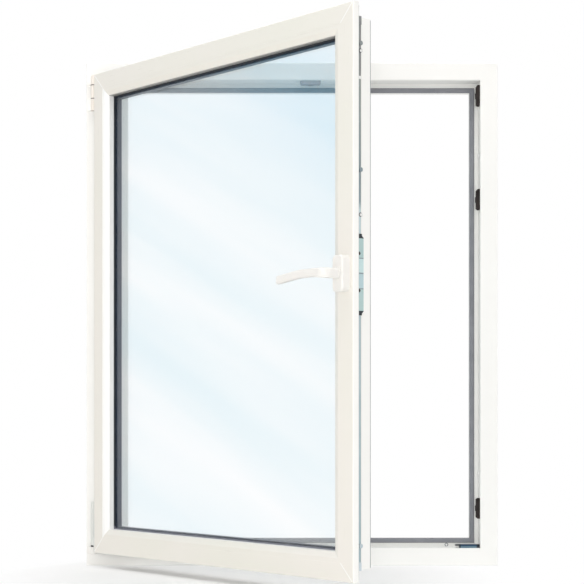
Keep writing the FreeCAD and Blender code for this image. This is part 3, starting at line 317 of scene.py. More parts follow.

# %% [markdown]
# Level and upright rails need their own materials, because the lines run along the rail. The top
# and lock beads are painted grey on the faces that turn from the room to the glass: painted shade
# on their inner edge, told apart from the painted warm light by its facing.

# %% Frame, leaf and beads
FRAME_TONES = ((0.935, 0.93, 0.905), (0.92, 0.913, 0.885))
HIGHLIT_BEAD_TONES = ((0.985, 0.985, 0.975), (0.97, 0.97, 0.96))
LIP_SHADE_TONES = ((0.4, 0.39, 0.37), (0.36, 0.35, 0.33))
PAINTED_WARM_EDGE = (0.6, 0.85)
LIP_SHADE_EDGE = (0.78, 0.92)
PLASTIC = {
    "grain": 700, "roughness": 0.3, "spread": 0.12, "bump": 0.08,
    "plain": {"Coat Weight": 0.12, "Coat Roughness": 0.12},
}
LIES = (("level", "x"), ("upright", "z"))
whites = {}
for kind, tones, turned, edge in (
    ("frame", FRAME_TONES, False, None), ("leaf", FRAME_TONES, True, PAINTED_WARM_EDGE),
    ("bead", HIGHLIT_BEAD_TONES, True, None), ("lip", LIP_SHADE_TONES, True, LIP_SHADE_EDGE),
):
    for lie, along in LIES:
        white = make_finish(f"{kind}_plastic_{lie}", tones, along=along, turned=turned, **PLASTIC)
        if edge:
            paint_warm_light(white, edge)
        whites[kind, lie] = white
dress(whites["frame", "level"], "frame_head", "frame_sill")
dress(whites["frame", "upright"], "frame_hinge_jamb", "frame_lock_jamb")
dress(whites["leaf", "level"], "sash_top_rail", "sash_bottom_rail", "glazing_bead_bottom")
dress(whites["leaf", "upright"], "sash_hinge_stile", "sash_lock_stile")
dress(whites["lip", "level"], "glazing_bead_top")
dress(whites["lip", "upright"], "glazing_bead_lock")
# The hinge bead faces the light: its whiter tone, without the warm front, is a painted highlight.
dress(whites["bead", "upright"], "glazing_bead_hinge")
print("plastic finishes", [white.name for white in whites.values()])

# %% [markdown]
# ## Coated metal and small white plastic
# The handle and the hinges are cast metal with a satin white coat, which has a finer and rounder
# grain than plastic. The lower hinge's barrel is a shade greyer. The upper hinge's plate is as
# white as the frame, and its knuckles are cream, so its tone steps beside the hinge's axis. The
# caps over the fixing screws are plain moulded plastic.

# %% Handle, hinges and caps
COAT_TONES = ((0.865, 0.85, 0.82), (0.84, 0.823, 0.793))
BARREL_TONES = ((0.76, 0.77, 0.74), (0.70, 0.71, 0.685))
CAP_TONES = ((0.86, 0.86, 0.85), (0.82, 0.82, 0.81))
WHITE, KNUCKLE_CREAM = (1, 1, 1), (0.94, 0.88, 0.834)
KNUCKLE_SIDE = 6.8 * MM
SATIN = {"grain": 1600, "roughness": 0.46, "spread": 0.1, "bump": 0.06}
coat_white = make_finish(
    "coated_metal", COAT_TONES, plain={"Coat Weight": 0.08, "Coat Roughness": 0.2}, **SATIN
)
dress(coat_white, "handle_lever", "handle_rosette", "lower_hinge_bracket")
barrel_grey = make_finish("barrel_cover", BARREL_TONES, **SATIN)
dress(barrel_grey, "lower_hinge_barrel")
hinge_cover = make_finish("hinge_cover", FRAME_TONES, **SATIN)
plate_low, plate_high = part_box("upper_hinge_bracket")
hinge_steps = (
    (plate_low.x - MM, WHITE), (hinge.x - KNUCKLE_SIDE, KNUCKLE_CREAM), (plate_high.x + MM, KNUCKLE_CREAM),
)
tint_along(hinge_cover, "X", hinge_steps, "CONSTANT")
dress(hinge_cover, "upper_hinge_bracket", "upper_hinge_pin")
cap_white = make_finish("cap_plastic", CAP_TONES, grain=1100, roughness=0.45, spread=0.1, bump=0.1)
dress(cap_white, "fixing_caps")
print("finishes", [finish.name for finish in (coat_white, barrel_grey, hinge_cover, cap_white)])

# %% [markdown]
# ## Plated steel
# Rods, faceplates, gear plate and stay are steel with a bluish zinc plating. A brushed grain runs
# along each strip, so the uprights and the top strip get one material each.

# %% Plain plated steel
STEEL_TONES = ((0.66, 0.73, 0.77), (0.54, 0.61, 0.66))
DRIVE_TONES = ((0.31, 0.32, 0.32), (0.25, 0.26, 0.26))
BRUSHED = {"grain": 900, "spread": 0.2, "bump": 0.15, "turned": True}
STEEL_DRIFT = 25
steels = {}
for lie, along in LIES:
    steels[lie] = make_finish(
        f"plated_steel_{lie}", STEEL_TONES, roughness=0.36, drift=STEEL_DRIFT, along=along,
        plain={"Metallic": 0.9}, **BRUSHED,
    )
dress(steels["upright"], "corner_drive_bottom", "lower_hinge_leaf_plate")
dress(steels["level"], "top_rod", "top_faceplate")
drive_grey = make_finish(
    "drive_plating", DRIVE_TONES, roughness=0.4, drift=STEEL_DRIFT, plain={"Metallic": 0.7}, **BRUSHED
)
dress(drive_grey, "corner_drive_top")
print("steel finishes", [finish.name for finish in (*steels.values(), drive_grey)])

# %% [markdown]
# The strip is darker above the handle and lighter just below it, the cams up there are as dark
# as the strip, and the gear is pressed from four sections with dark joints. Colours by height
# show that: soft changes on the strip, hard steps on the gear and the rod.

# %% Strip, gear and rod
STEP_TONES = ((1, 1, 1), (0.88, 0.9, 0.91))
STRIP_LOW, STRIP_MIDDLE, STRIP_LIGHT = (0.42, 0.53, 0.57), (0.50, 0.59, 0.63), (0.62, 0.72, 0.75)
STRIP_DARK, STRIP_TOP = (0.29, 0.36, 0.39), (0.34, 0.36, 0.34)
STRIP_STEPS = (
    (0.060, STRIP_LOW), (0.510, STRIP_MIDDLE), (0.660, STRIP_LIGHT),
    (0.702, STRIP_LIGHT), (0.716, STRIP_DARK), (0.945, STRIP_TOP),
)
ROD_LOW, ROD_MIDDLE, ROD_TOP = (0.60, 0.67, 0.71), (0.30, 0.36, 0.39), (0.33, 0.35, 0.35)
ROD_STEPS = ((0.060, ROD_LOW), (0.700, ROD_MIDDLE), (0.900, ROD_TOP), (1.060, ROD_TOP))
GREENISH, BLUISH, PALE, JOINT = (0.50, 0.65, 0.64), (0.53, 0.68, 0.71), (0.63, 0.79, 0.79), (0.3, 0.36, 0.38)
GEAR_STEPS = (
    (0.510, GREENISH), (0.557, JOINT), (0.559, BLUISH), (0.585, JOINT), (0.587, PALE),
    (0.612, JOINT), (0.614, GREENISH), (0.660, GREENISH),
)
for name, steps, change, node in (
    ("strip_plating", STRIP_STEPS, "LINEAR", "lock_faceplate"),
    ("gear_plating", GEAR_STEPS, "CONSTANT", "gear_plate"),
    ("rod_plating", ROD_STEPS, "CONSTANT", "lock_rod"),
):
    plating = make_finish(
        name, STEP_TONES, roughness=0.38, drift=STEEL_DRIFT, along="z", plain={"Metallic": 0.8}, **BRUSHED
    )
    tint_along(plating, "Z", steps, change)
    dress(plating, node)
    print(plating.name, "on", node)

# %% [markdown]
# The stay is plated too, but its knuckle is coated like the rest of the hinge. A hard mask round
# the hinge's axis takes the metal away there and puts the coat's tone in its place.

# %% Stay arm
KNUCKLE_REACH = 8.5 * MM
KNUCKLE_TONE = (0.88, 0.82, 0.755)
STAY_METAL = 0.9
stay_plating = make_finish("stay_plating", STEEL_TONES, roughness=0.36, along="x", **BRUSHED)
stay_tree = stay_plating.node_tree
stay_place = add_node(stay_tree, "TexCoord")
stay_flat = add_node(
    stay_tree, "VectorMath", {0: stay_place.outputs["Object"], 1: (1, 1, 0)}, operation="MULTIPLY"
)
stay_reach = add_node(
    stay_tree, "VectorMath", {0: stay_flat.outputs["Vector"], 1: hinge}, operation="DISTANCE"
)
knuckle = add_node(
    stay_tree, "Math", {0: stay_reach.outputs["Value"], 1: KNUCKLE_REACH}, operation="LESS_THAN"
)
stay_metal = add_node(
    stay_tree, "Math", {0: knuckle.outputs[0], 1: -STAY_METAL, 2: STAY_METAL}, operation="MULTIPLY_ADD"
)
blend_tone(stay_plating, knuckle.outputs[0], (*KNUCKLE_TONE, 1))
fill_inputs(stay_tree, shader_of(stay_plating), {"Metallic": stay_metal.outputs[0]})
dress(stay_plating, "stay_arm")
print("stay finish", stay_plating.name)

# %% [markdown]
# ## Keeps and spacer
# The keeps that the cams run into are cast zinc: nearly black on the lock jamb, grey on the head.
# A casting has no lines, so the grain is coarse and runs no particular way.

# %% Keeps
KEEP_TONES = ((0.035, 0.026, 0.024), (0.012, 0.009, 0.009))
HEAD_KEEP_TONES = ((0.46, 0.43, 0.44), (0.38, 0.35, 0.36))
CAST = {"grain": 500, "roughness": 0.45, "spread": 0.25, "bump": 0.3, "drift": 60}
keep_dark = make_finish("keep_coating", KEEP_TONES, plain={"Specular IOR Level": 0.2}, **CAST)
dress(keep_dark, "keep_upper", "keep_middle", "keep_lower")
head_keep = make_finish("head_keep_plating", HEAD_KEEP_TONES, plain={"Metallic": 0.3}, **CAST)
dress(head_keep, "keep_head")
print("keep finishes", keep_dark.name, head_keep.name)

# %% [markdown]
# The tilt keep in the sill's corner has dark ends, a bluish middle and a darker bar along its top.
# Two tints across each other give that. The spacer between the panes is blue-grey metal.

# %% Tilt keep and spacer
TILT_BODY, TILT_ENDS, TILT_BAR = (0.12, 0.21, 0.265), (0.025, 0.035, 0.045), (0.1, 0.22, 0.36)
TILT_LEFT_END = 11.5 * MM
TILT_RIGHT_END = 6.5 * MM
TILT_BAR_HEIGHT = 3.3 * MM
SPACER_TONES = ((0.038, 0.057, 0.1), (0.025, 0.04, 0.075))
tilt_low, tilt_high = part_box("tilt_keep")
tilt_plating = make_finish(
    "tilt_keep_plating", STEP_TONES, grain=700, roughness=0.4, spread=0.2, bump=0.2, drift=50, along="x",
    plain={"Metallic": 0.4},
)
tint_along(tilt_plating, "X", (
    (tilt_low.x - MM, TILT_ENDS), (tilt_low.x + TILT_LEFT_END, TILT_BODY),
    (tilt_high.x - TILT_RIGHT_END, TILT_ENDS), (tilt_high.x + MM, TILT_ENDS),
), "CONSTANT")
tint_along(tilt_plating, "Z", (
    (tilt_low.z - MM, WHITE), (tilt_high.z - TILT_BAR_HEIGHT, TILT_BAR), (tilt_high.z + MM, TILT_BAR),
), "CONSTANT")
dress(tilt_plating, "tilt_keep")
spacer_metal = make_finish(
    "spacer_metal", SPACER_TONES, grain=600, roughness=0.42, spread=0.15, bump=0.15, drift=20, turned=True,
    plain={"Metallic": 0.2},
)
dress(spacer_metal, "pane_spacer")
print("finishes", tilt_plating.name, spacer_metal.name)

# %% [markdown]
# ## Rubber seals
# The weather seals are matt grey rubber. The glazing seal at the bead is nearly black, and along
# the bottom it is painted a lighter grey: painted light. A black finish also serves pieces that
# are painted shade. Rubber scatters light softly, so it gets a high roughness, a coarse grain and
# little gloss.

# %% Seals
GREY_TONES = ((0.265, 0.272, 0.295), (0.222, 0.23, 0.252))
SHADE_BLACK_TONES = ((0.045, 0.053, 0.06), (0.026, 0.033, 0.038))
BOTTOM_LIGHT_TONES = ((0.25, 0.26, 0.305), (0.215, 0.225, 0.265))
NEARLY_BLACK_FACTOR = (0.16, 0.18, 0.18)
GLAZING_STEPS = ((0.0, WHITE), (0.087, NEARLY_BLACK_FACTOR), (1.1, NEARLY_BLACK_FACTOR))
rubbers = {}
for name, tones, turned in (
    ("frame_rubber", GREY_TONES, False), ("leaf_rubber", GREY_TONES, True),
    ("black_rubber", SHADE_BLACK_TONES, True), ("glazing_rubber", BOTTOM_LIGHT_TONES, True),
):
    rubbers[name] = make_finish(
        name, tones, grain=900, roughness=0.62, spread=0.15, bump=0.35, drift=30, turned=turned,
        plain={"Specular IOR Level": 0.3},
    )
# The glazing seal's lighter grey along the bottom is painted light; above it the tone is multiplied down to
# nearly black.
tint_along(rubbers["glazing_rubber"], "Z", GLAZING_STEPS, "CONSTANT")
dress(rubbers["frame_rubber"], "frame_gasket")
dress(rubbers["leaf_rubber"], "sash_gasket", "outer_glazing_gasket")
dress(rubbers["glazing_rubber"], "inner_glazing_gasket")
print("rubbers", list(rubbers))

# %% [markdown]
# ## Double glazing
# Float glass is faintly blue, and soft slanting bands in its tint are a painted reflection. A
# Principled shader with full transmission bends and mirrors the light. Lamps can't light what
# lies behind such glass, so for shadow rays a Transparent shader takes over.

# %% Glass
GLASS_TONES = ((0.99, 0.996, 1.0), (0.895, 0.953, 0.975))
GLASS_SHADOW = (0.98, 0.988, 0.99, 1)
REFLECTION_BAND_SLANT = radians(24)
REFLECTION_BAND_SCALE = 6.0
REFLECTION_BAND_STRETCH = (0.1, 1, 1)
glass = bpy.data.materials.new("float_glass")
glass.use_nodes = True
glass_tree = glass.node_tree
glass_place = add_node(glass_tree, "TexCoord")
glass_lined_up = add_node(
    glass_tree, "Mapping", {"Vector": glass_place.outputs["Object"], "Rotation": (0, 0, open_angle)}
)
glass_slant = add_node(
    glass_tree, "Mapping", {"Vector": glass_lined_up.outputs["Vector"], "Rotation": (0, -REFLECTION_BAND_SLANT, 0)}
)
glass_reflection_bands = add_node(
    glass_tree, "Mapping", {"Vector": glass_slant.outputs["Vector"], "Scale": REFLECTION_BAND_STRETCH}
)
# The slanting bands in the glass's tint are a painted reflection.
fill_inputs(glass_tree, shader_of(glass), {
    "Base Color": drifting_tone(glass_tree, glass_reflection_bands.outputs["Vector"], REFLECTION_BAND_SCALE, GLASS_TONES),
    "Roughness": 0.0, "IOR": 1.5, "Transmission Weight": 1.0,
})
glass_path = add_node(glass_tree, "LightPath")
glass_clear = add_node(glass_tree, "BsdfTransparent", {"Color": GLASS_SHADOW})
glass_both = add_node(
    glass_tree, "MixShader",
    {0: glass_path.outputs["Is Shadow Ray"], 1: shader_of(glass).outputs[0], 2: glass_clear.outputs[0]},
)
glass_tree.links.new(glass_both.outputs[0], glass_tree.nodes["Material Output"].inputs["Surface"])
dress(glass, "inner_pane", "outer_pane")
print("glass on both panes")

# %% [markdown]
# ## Modelling helpers
# Operators act on whatever is selected, so each piece starts from a clear selection. Faces and
# edges are picked in edit mode by their place or direction, as one would click on them.

# %% Helpers for shaping
def clear_selection():
    bpy.ops.object.select_all(action="DESELECT")


def start_piece(name):
    """Names the primitive that was just added, and puts its size and place into its mesh."""
    piece = bpy.context.object
    piece.name = name
    piece.data.name = name
    bpy.ops.object.transform_apply(location=True, rotation=True, scale=True)
    return piece


def add_block(name, low, high):
    """A box primitive between two corners, as the start of a piece."""
    clear_selection()
    low, high = Vector(low), Vector(high)
    bpy.ops.mesh.primitive_cube_add(size=1, location=(low + high) / 2)
    bpy.context.object.scale = high - low
    return start_piece(name)


def add_disc(name, radius, height, sides, middle=(0, 0, 0)):
    """A short cylinder about Z, as the start of a round piece."""
    clear_selection()
    bpy.ops.mesh.primitive_cylinder_add(vertices=sides, radius=radius, depth=height, location=middle)
    return start_piece(name)


def pick(piece, kind, wanted):
    """In edit mode, selects just the faces or edges that pass a test."""
    bpy.ops.mesh.select_all(action="DESELECT")
    bpy.ops.mesh.select_mode(type="FACE" if kind == "faces" else "EDGE")
    mesh = bmesh.from_edit_mesh(piece.data)
    for element in getattr(mesh, kind):
        element.select_set(bool(wanted(element)))
    mesh.select_flush_mode()
    bmesh.update_edit_mesh(piece.data)


def faces_up(face):
    return face.normal.z > 0.9


def edge_way(edge):
    start, end = (vertex.co for vertex in edge.verts)
    return (end - start).normalized()


def edge_middle(edge):
    return (edge.verts[0].co + edge.verts[1].co) / 2


def bevel_edges(piece, wanted, width, segments=2):
    """Bevels the edges of the active piece that pass a test."""
    bpy.ops.object.mode_set(mode="EDIT")
    pick(piece, "edges", wanted)
    bpy.ops.mesh.bevel(offset=width, segments=segments)
    bpy.ops.object.mode_set(mode="OBJECT")


print("shaping helpers ready")

# %% [markdown]
# A piece that repeats is modelled once at the origin and copied to its places. Linked copies
# would be lighter, but every copy needs its own mesh with the place baked in. Copies that one
# body carries are joined, and the finished piece gets its finish and the body that it rides on.

# %% Helpers for copies
def place_copy(model, name, place):
    """A copy of a modelled piece with its own mesh, with a matrix baked into that mesh."""
    clear_selection()
    model.select_set(True)
    bpy.context.view_layer.objects.active = model
    bpy.ops.object.duplicate(linked=False)
    copy = bpy.context.object
    copy.name = name
    copy.data.name = name
    copy.matrix_world = place
    bpy.ops.object.transform_apply(location=True, rotation=True, scale=True)
    return copy


def join_set(name, members):
    """Joins copies that one piece carries into one named mesh."""
    clear_selection()
    for member in members:
        member.select_set(True)
    bpy.context.view_layer.objects.active = members[0]
    bpy.ops.object.join()
    members[0].name = name
    members[0].data.name = name
    return members[0]


def hand_over(piece, body, material):
    """Gives a finished piece its finish and the body that it moves with."""
    piece.data.materials.clear()
    piece.data.materials.append(material)
    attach(piece, body)
    print(piece.name, "has", len(piece.data.polygons), "faces and rides on", body)


def set_copies(model, name, places, facing, hang, body, finish):
    """Copies of a model at the given places, turned one way, joined and handed over."""
    copies = [
        place_copy(model, f"{name}_copy", hang @ Matrix.Translation(place) @ facing) for place in places
    ]
    hand_over(join_set(name, copies), body, finish)


def remove(piece):
    bpy.data.objects.remove(piece)


print("copying helpers ready")

# %% [markdown]
# ## Weld seams
# Plastic rails are welded at the mitre, and a fine seam stays visible on each corner. A groove
# would need the rails themselves to change, so the seam is modelled as the low ridge that the
# weld leaves: a thin strip with its long edges bevelled and its ends drawn down. One strip
# serves the frame and one the leaf, turned to the four corners. The leaf's seams take the hinge
# bead's whiter finish, with its painted highlight, and not the painted warm light of the front.

# %% Seam strips on the mitres
SEAM_WIDTH = 1.3 * MM
SEAM_RISE = 0.16 * MM
SEAM_SINK = 0.1 * MM
SEAM_SLOPE = SEAM_RISE * 0.9
SEAM_END_GAP = 3.5 * MM
FRAME_FACE_WIDTH = 38 * MM
LEAF_FACE_WIDTH = 34 * MM


def model_seam(name, length):
    """A low ridge along +X from the origin, facing -Y, with sloping sides and ends."""
    seam = add_block(name, (0, -SEAM_RISE, -SEAM_WIDTH / 2), (length, SEAM_SINK, SEAM_WIDTH / 2))
    bevel_edges(seam, lambda edge: edge_middle(edge).y < -SEAM_RISE / 2, SEAM_SLOPE)
    return seam


def lay_seams(name, low, high, run, hang):
    """Copies a seam to the four corners of a border, running inwards at 45 degrees."""
    seam = model_seam(f"{name}_pattern", (run - SEAM_END_GAP) * 2 ** 0.5)
    strips = []
    corners = ((low.x, low.z, -45), (high.x, low.z, -135), (low.x, high.z, 45), (high.x, high.z, 135))
    for x, z, lean in corners:
        inward = Vector((1 if x == low.x else -1, 0, 1 if z == low.z else -1)) * SEAM_END_GAP
        corner = Matrix.Translation(Vector((x, low.y, z)) + inward)
        turn = Matrix.Rotation(radians(lean), 4, "Y")
        strips.append(place_copy(seam, f"{name}_strip", hang @ corner @ turn))
    remove(seam)
    return join_set(name, strips)


sill_low, sill_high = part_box("frame_sill")
head_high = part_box("frame_head")[1]
frame_seams = lay_seams("frame_weld_seams", sill_low, head_high, FRAME_FACE_WIDTH, Matrix())
hand_over(frame_seams, "frame", whites["frame", "level"])
leaf_low, leaf_high = shut_box("sash_hinge_stile")[0], shut_box("sash_lock_stile")[1]
leaf_seams = lay_seams("leaf_weld_seams", leaf_low, leaf_high, LEAF_FACE_WIDTH, swing)
hand_over(leaf_seams, "leaf", whites["bead", "level"])

# %% [markdown]
# ## Screws
# Faceplates, gear and keeps are held by countersunk screws with a cross recess. The head is a
# short cylinder with its top inset and raised into a low crown. The recess could be cut by hand
# with extrudes, but a Boolean with two crossed bars is quicker and cleaner.

# %% One screw head
SCREW_RADIUS = 3.3 * MM
SCREW_RISE = 0.6 * MM
SCREW_RIM = SCREW_RADIUS * 0.16
SCREW_CROWN = SCREW_RADIUS * 0.25
CROWN_RISE = SCREW_RISE * 0.3
SCREW_ROUNDING = SCREW_RISE * 0.4
CROSS_BAR = (0.95 * MM, 3.9 * MM)


def on_upper_rim(radius):
    """A test for edges of a disc that lie round its upper rim."""
    return lambda edge: edge_middle(edge).xy.length > radius * 0.95 and edge_middle(edge).z > 0


screw = add_disc("screw_pattern", SCREW_RADIUS, SCREW_RISE * 2, sides=24)
bpy.ops.object.mode_set(mode="EDIT")
pick(screw, "faces", faces_up)
bpy.ops.mesh.inset(thickness=SCREW_RIM, depth=0)
bpy.ops.mesh.inset(thickness=SCREW_CROWN, depth=CROWN_RISE)
bpy.ops.object.mode_set(mode="OBJECT")
bevel_edges(screw, on_upper_rim(SCREW_RADIUS), SCREW_ROUNDING)
for across, along in (CROSS_BAR, CROSS_BAR[::-1]):
    bar = add_block("cross_bar", (-across / 2, -along / 2, 0), (across / 2, along / 2, SCREW_RISE * 3))
    cut = screw.modifiers.new("cross_recess", "BOOLEAN")
    cut.object = bar
    cut.operation = "DIFFERENCE"
    bpy.context.view_layer.objects.active = screw
    bpy.ops.object.modifier_apply(modifier=cut.name)
    remove(bar)
print("screw head has", len(screw.data.polygons), "faces")

# %% [markdown]
# The head points up at the origin. For each screw a matrix turns it to face out of its plate and
# sets it at its place, half sunk. Screws that one piece carries are joined into one mesh.

# %% Screws on the leaf
FACE_UP = Matrix()
FACE_RIGHT = Matrix.Rotation(pi / 2, 4, "Y")
FACE_LEFT = Matrix.Rotation(-pi / 2, 4, "Y")
FACE_DOWN = Matrix.Rotation(pi, 4, "X")
FACE_ROOM = Matrix.Rotation(pi / 2, 4, "X")
STRIP_SCREW_HEIGHTS = (0.170, 0.300, 0.430, 0.860, 0.925)
TOP_SCREW_PLACES = (-0.300, -0.020, 0.190, 0.310)
GEAR_SCREW_HEIGHTS = (0.555, 0.622)
strip_low, strip_high = shut_box("lock_faceplate")
top_high = shut_box("top_faceplate")[1]
gear_low, gear_high = shut_box("gear_plate")
groove_y = (strip_low.y + strip_high.y) / 2
strip_places = [Vector((strip_high.x, groove_y, height)) for height in STRIP_SCREW_HEIGHTS]
top_places = [Vector((x, groove_y, top_high.z)) for x in TOP_SCREW_PLACES]
gear_places = [Vector((gear_high.x, groove_y, height)) for height in GEAR_SCREW_HEIGHTS]
for name, places, facing, slot, finish in (
    ("lock_faceplate_screws", strip_places, FACE_RIGHT, "fitting_steel", steels["upright"]),
    ("top_faceplate_screws", top_places, FACE_UP, "fitting_steel", steels["level"]),
    ("gear_plate_screws", gear_places, FACE_RIGHT, "keep_dark", keep_dark),
):
    set_copies(screw, name, places, facing, swing, "leaf", finish)

# %% [markdown]
# The keeps belong to the frame, so their screws stay still when the leaf turns. Each keep's own
# box says where its ends are, and a screw sits a fixed way in from either end.

# %% Screws in the keeps
KEEP_SCREW_INSET = 11 * MM
KEEP_BASE = 2 * MM
jamb_places = []
for node in ("keep_upper", "keep_middle", "keep_lower"):
    keep_low, keep_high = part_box(node)
    for height in (keep_low.z + KEEP_SCREW_INSET, keep_high.z - KEEP_SCREW_INSET):
        jamb_places.append(Vector((keep_high.x - KEEP_BASE, groove_y, height)))
set_copies(screw, "keep_screws", jamb_places, FACE_LEFT, Matrix(), "frame", keep_dark)
keep_low, keep_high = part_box("keep_head")
head_places = [
    Vector((x, groove_y, keep_high.z - KEEP_BASE))
    for x in (keep_low.x + KEEP_SCREW_INSET, keep_high.x - KEEP_SCREW_INSET)
]
set_copies(
    screw, "head_keep_screws", head_places, FACE_DOWN, Matrix(), "frame", steels["level"]
)
remove(screw)

# %% [markdown]
# ## Ring plugs
# Holes drilled for fitting are closed by small plugs: a white cap in a dark ring, painted shade round the
# cap's edge.
# Two insets in the end of a cylinder give the ring its rim and its dish. The cap is a second
# cylinder with a rounded edge. A lathe profile would do as well, but the insets are quicker.

# %% Plug ring and cap
PLUG_RADIUS = 4.0 * MM
PLUG_RISE = 0.5 * MM
PLUG_CAP_RADIUS = 2.5 * MM
PLUG_RIM = PLUG_RADIUS * 0.2
PLUG_DISH = PLUG_RADIUS * 0.1
PLUG_ROUNDING = PLUG_RISE * 0.4
plug_shade_ring = add_disc("plug_ring_pattern", PLUG_RADIUS, PLUG_RISE * 2, sides=32)
bpy.ops.object.mode_set(mode="EDIT")
pick(plug_shade_ring, "faces", faces_up)
bpy.ops.mesh.inset(thickness=PLUG_RIM, depth=0)
bpy.ops.mesh.inset(thickness=PLUG_DISH, depth=-PLUG_RISE / 2)
bpy.ops.object.mode_set(mode="OBJECT")
bevel_edges(plug_shade_ring, on_upper_rim(PLUG_RADIUS), PLUG_ROUNDING)
plug_cap = add_disc("plug_cap_pattern", PLUG_CAP_RADIUS, PLUG_RISE * 2.2, sides=32)
bevel_edges(plug_cap, lambda edge: edge_middle(edge).z > 0, PLUG_ROUNDING)
print("plug ring has", len(plug_shade_ring.data.polygons), "faces and its cap", len(plug_cap.data.polygons))

# %% [markdown]
# Two plugs sit beside the strip on the leaf's free edge, and one on the sill's outer leg. Ring and
# cap stay separate pieces, because their finishes differ.

# %% Plugs in their holes
LEAF_PLUG_HEIGHTS = (0.6926, 0.989)
LEAF_PLUG_INSET = 0.6 * MM
SILL_PLUG_X, SILL_PLUG_Z = 0.3425, 0.0418
LEG_THICK = 22.8 * MM
leaf_plugs = [Vector((strip_high.x, strip_high.y - LEAF_PLUG_INSET, height)) for height in LEAF_PLUG_HEIGHTS]
sill_plugs = [Vector((SILL_PLUG_X, sill_high.y - LEG_THICK, SILL_PLUG_Z))]
shade_black, grey = rubbers["black_rubber"], rubbers["frame_rubber"]
# The dark rings, black on the leaf and grey on the sill, are painted shade round the caps.
for model, name, places, facing, hang, body, slot, finish in (
    (plug_shade_ring, "leaf_plug_rings", leaf_plugs, FACE_RIGHT, swing, "leaf", "seal_black", shade_black),
    (plug_cap, "leaf_plug_caps", leaf_plugs, FACE_RIGHT, swing, "leaf", "cap_white", cap_white),
    (plug_shade_ring, "sill_plug_ring", sill_plugs, FACE_ROOM, Matrix(), "frame", "seal_grey", grey),
    (plug_cap, "sill_plug_cap", sill_plugs, FACE_ROOM, Matrix(), "frame", "cap_white", cap_white),
):
    set_copies(model, name, places, facing, hang, body, finish)
remove(plug_shade_ring)
remove(plug_cap)

# %% [markdown]
# ## Ends of the gear
# A black block at each end of the gear's plate is painted shade: it stands in for the shade in
# the notch there. It is a block whose outer edges slope in to a small square nib. The block's end
# is bevelled and the face that is left is pulled out. The lower block is a mirror image, which
# turns its faces inwards, so the normals are made consistent at the end.

# %% Gear end shade blocks
END_SHADE_HEIGHT = 4.8 * MM
END_SHADE_SLOPE = 4.4 * MM
END_SHADE_SINK = 0.3 * MM
NIB_HEIGHT = 3.2 * MM
stop = add_block(
    "gear_stop_pattern",
    (gear_low.x - gear_high.x, gear_low.y - groove_y, 0), (-END_SHADE_SINK, gear_high.y - groove_y, END_SHADE_HEIGHT),
)
bevel_edges(
    stop, lambda edge: edge_middle(edge).z > END_SHADE_HEIGHT * 0.9 and abs(edge_way(edge).x) > 0.9,
    END_SHADE_SLOPE, segments=1,
)
bpy.ops.object.mode_set(mode="EDIT")
pick(stop, "faces", faces_up)
bpy.ops.mesh.extrude_region_move(TRANSFORM_OT_translate={"value": (0, 0, NIB_HEIGHT)})
bpy.ops.object.mode_set(mode="OBJECT")
upper_end = Matrix.Translation((gear_high.x, groove_y, gear_high.z))
lower_end = Matrix.Translation((gear_high.x, groove_y, gear_low.z)) @ Matrix.Scale(-1, 4, (0, 0, 1))
end_shades = [place_copy(stop, "gear_stop_copy", swing @ place) for place in (upper_end, lower_end)]
remove(stop)
gear_stops = join_set("gear_stops", end_shades)
bpy.ops.object.mode_set(mode="EDIT")
bpy.ops.mesh.select_all(action="SELECT")
bpy.ops.mesh.normals_make_consistent(inside=False)
bpy.ops.object.mode_set(mode="OBJECT")
hand_over(gear_stops, "leaf", shade_black)

# %% [markdown]
# ## Guide clip
# Where the lock side's strip meets the corner drive, a white clip keeps both in the groove. It is
# drawn as a block across the joint with the leaf shut, its outer edges are rounded, and a copy is
# swung to its place.

# %% Clip over the strip's joint
CLIP_HALF = 2.7 * MM
CLIP_RISE = 0.8 * MM
clip = add_block(
    "guide_clip_pattern",
    (strip_high.x - CLIP_RISE, strip_low.y, strip_high.z - CLIP_HALF),
    (strip_high.x + CLIP_RISE, strip_high.y + 2 * CLIP_RISE, strip_high.z + CLIP_HALF),
)
bevel_edges(clip, lambda edge: edge_middle(edge).x > strip_high.x, CLIP_RISE * 0.5)
guide_clip = place_copy(clip, "guide_clip", swing)
remove(clip)
hand_over(guide_clip, "leaf", cap_white)

# %% [markdown]
# ## Painted shade line on the stile's back edge
# A thin grey strip runs down the back edge of the lock stile, where the stile meets the weather
# seal: painted shade where that edge turns away. It is a long thin block with its outer edges
# rounded, swung open like the clip.

# %% Back shade line
SHADE_LINE_WIDTH = 1.1 * MM
SHADE_LINE_RISE = 0.25 * MM
SHADE_LINE_STEP = 21 * MM
SHADE_LINE_END_GAP = 23 * MM
stile_low, stile_high = shut_box("sash_lock_stile")
leg_side = stile_high.x - SHADE_LINE_STEP
lip = add_block(
    "stile_back_lip_pattern",
    (leg_side - SHADE_LINE_WIDTH, stile_high.y - SHADE_LINE_WIDTH, stile_low.z + SHADE_LINE_END_GAP),
    (leg_side + SHADE_LINE_RISE, stile_high.y, stile_high.z - SHADE_LINE_END_GAP),
)
bevel_edges(lip, lambda edge: edge_middle(edge).x > leg_side, SHADE_LINE_RISE * 0.6)
back_shade_line = place_copy(lip, "stile_back_lip", swing)
remove(lip)
hand_over(back_shade_line, "leaf", rubbers["leaf_rubber"])

# %% [markdown]
# ## Painted shade in the hinges' gaps
# A dark ring between the parts of each hinge is painted shade, standing in for the shade in the
# gap there: one under the lower hinge's barrel, and one at each end of the stay's knuckle. Each is
# a short cylinder round the hinge's axis with both rims rounded.

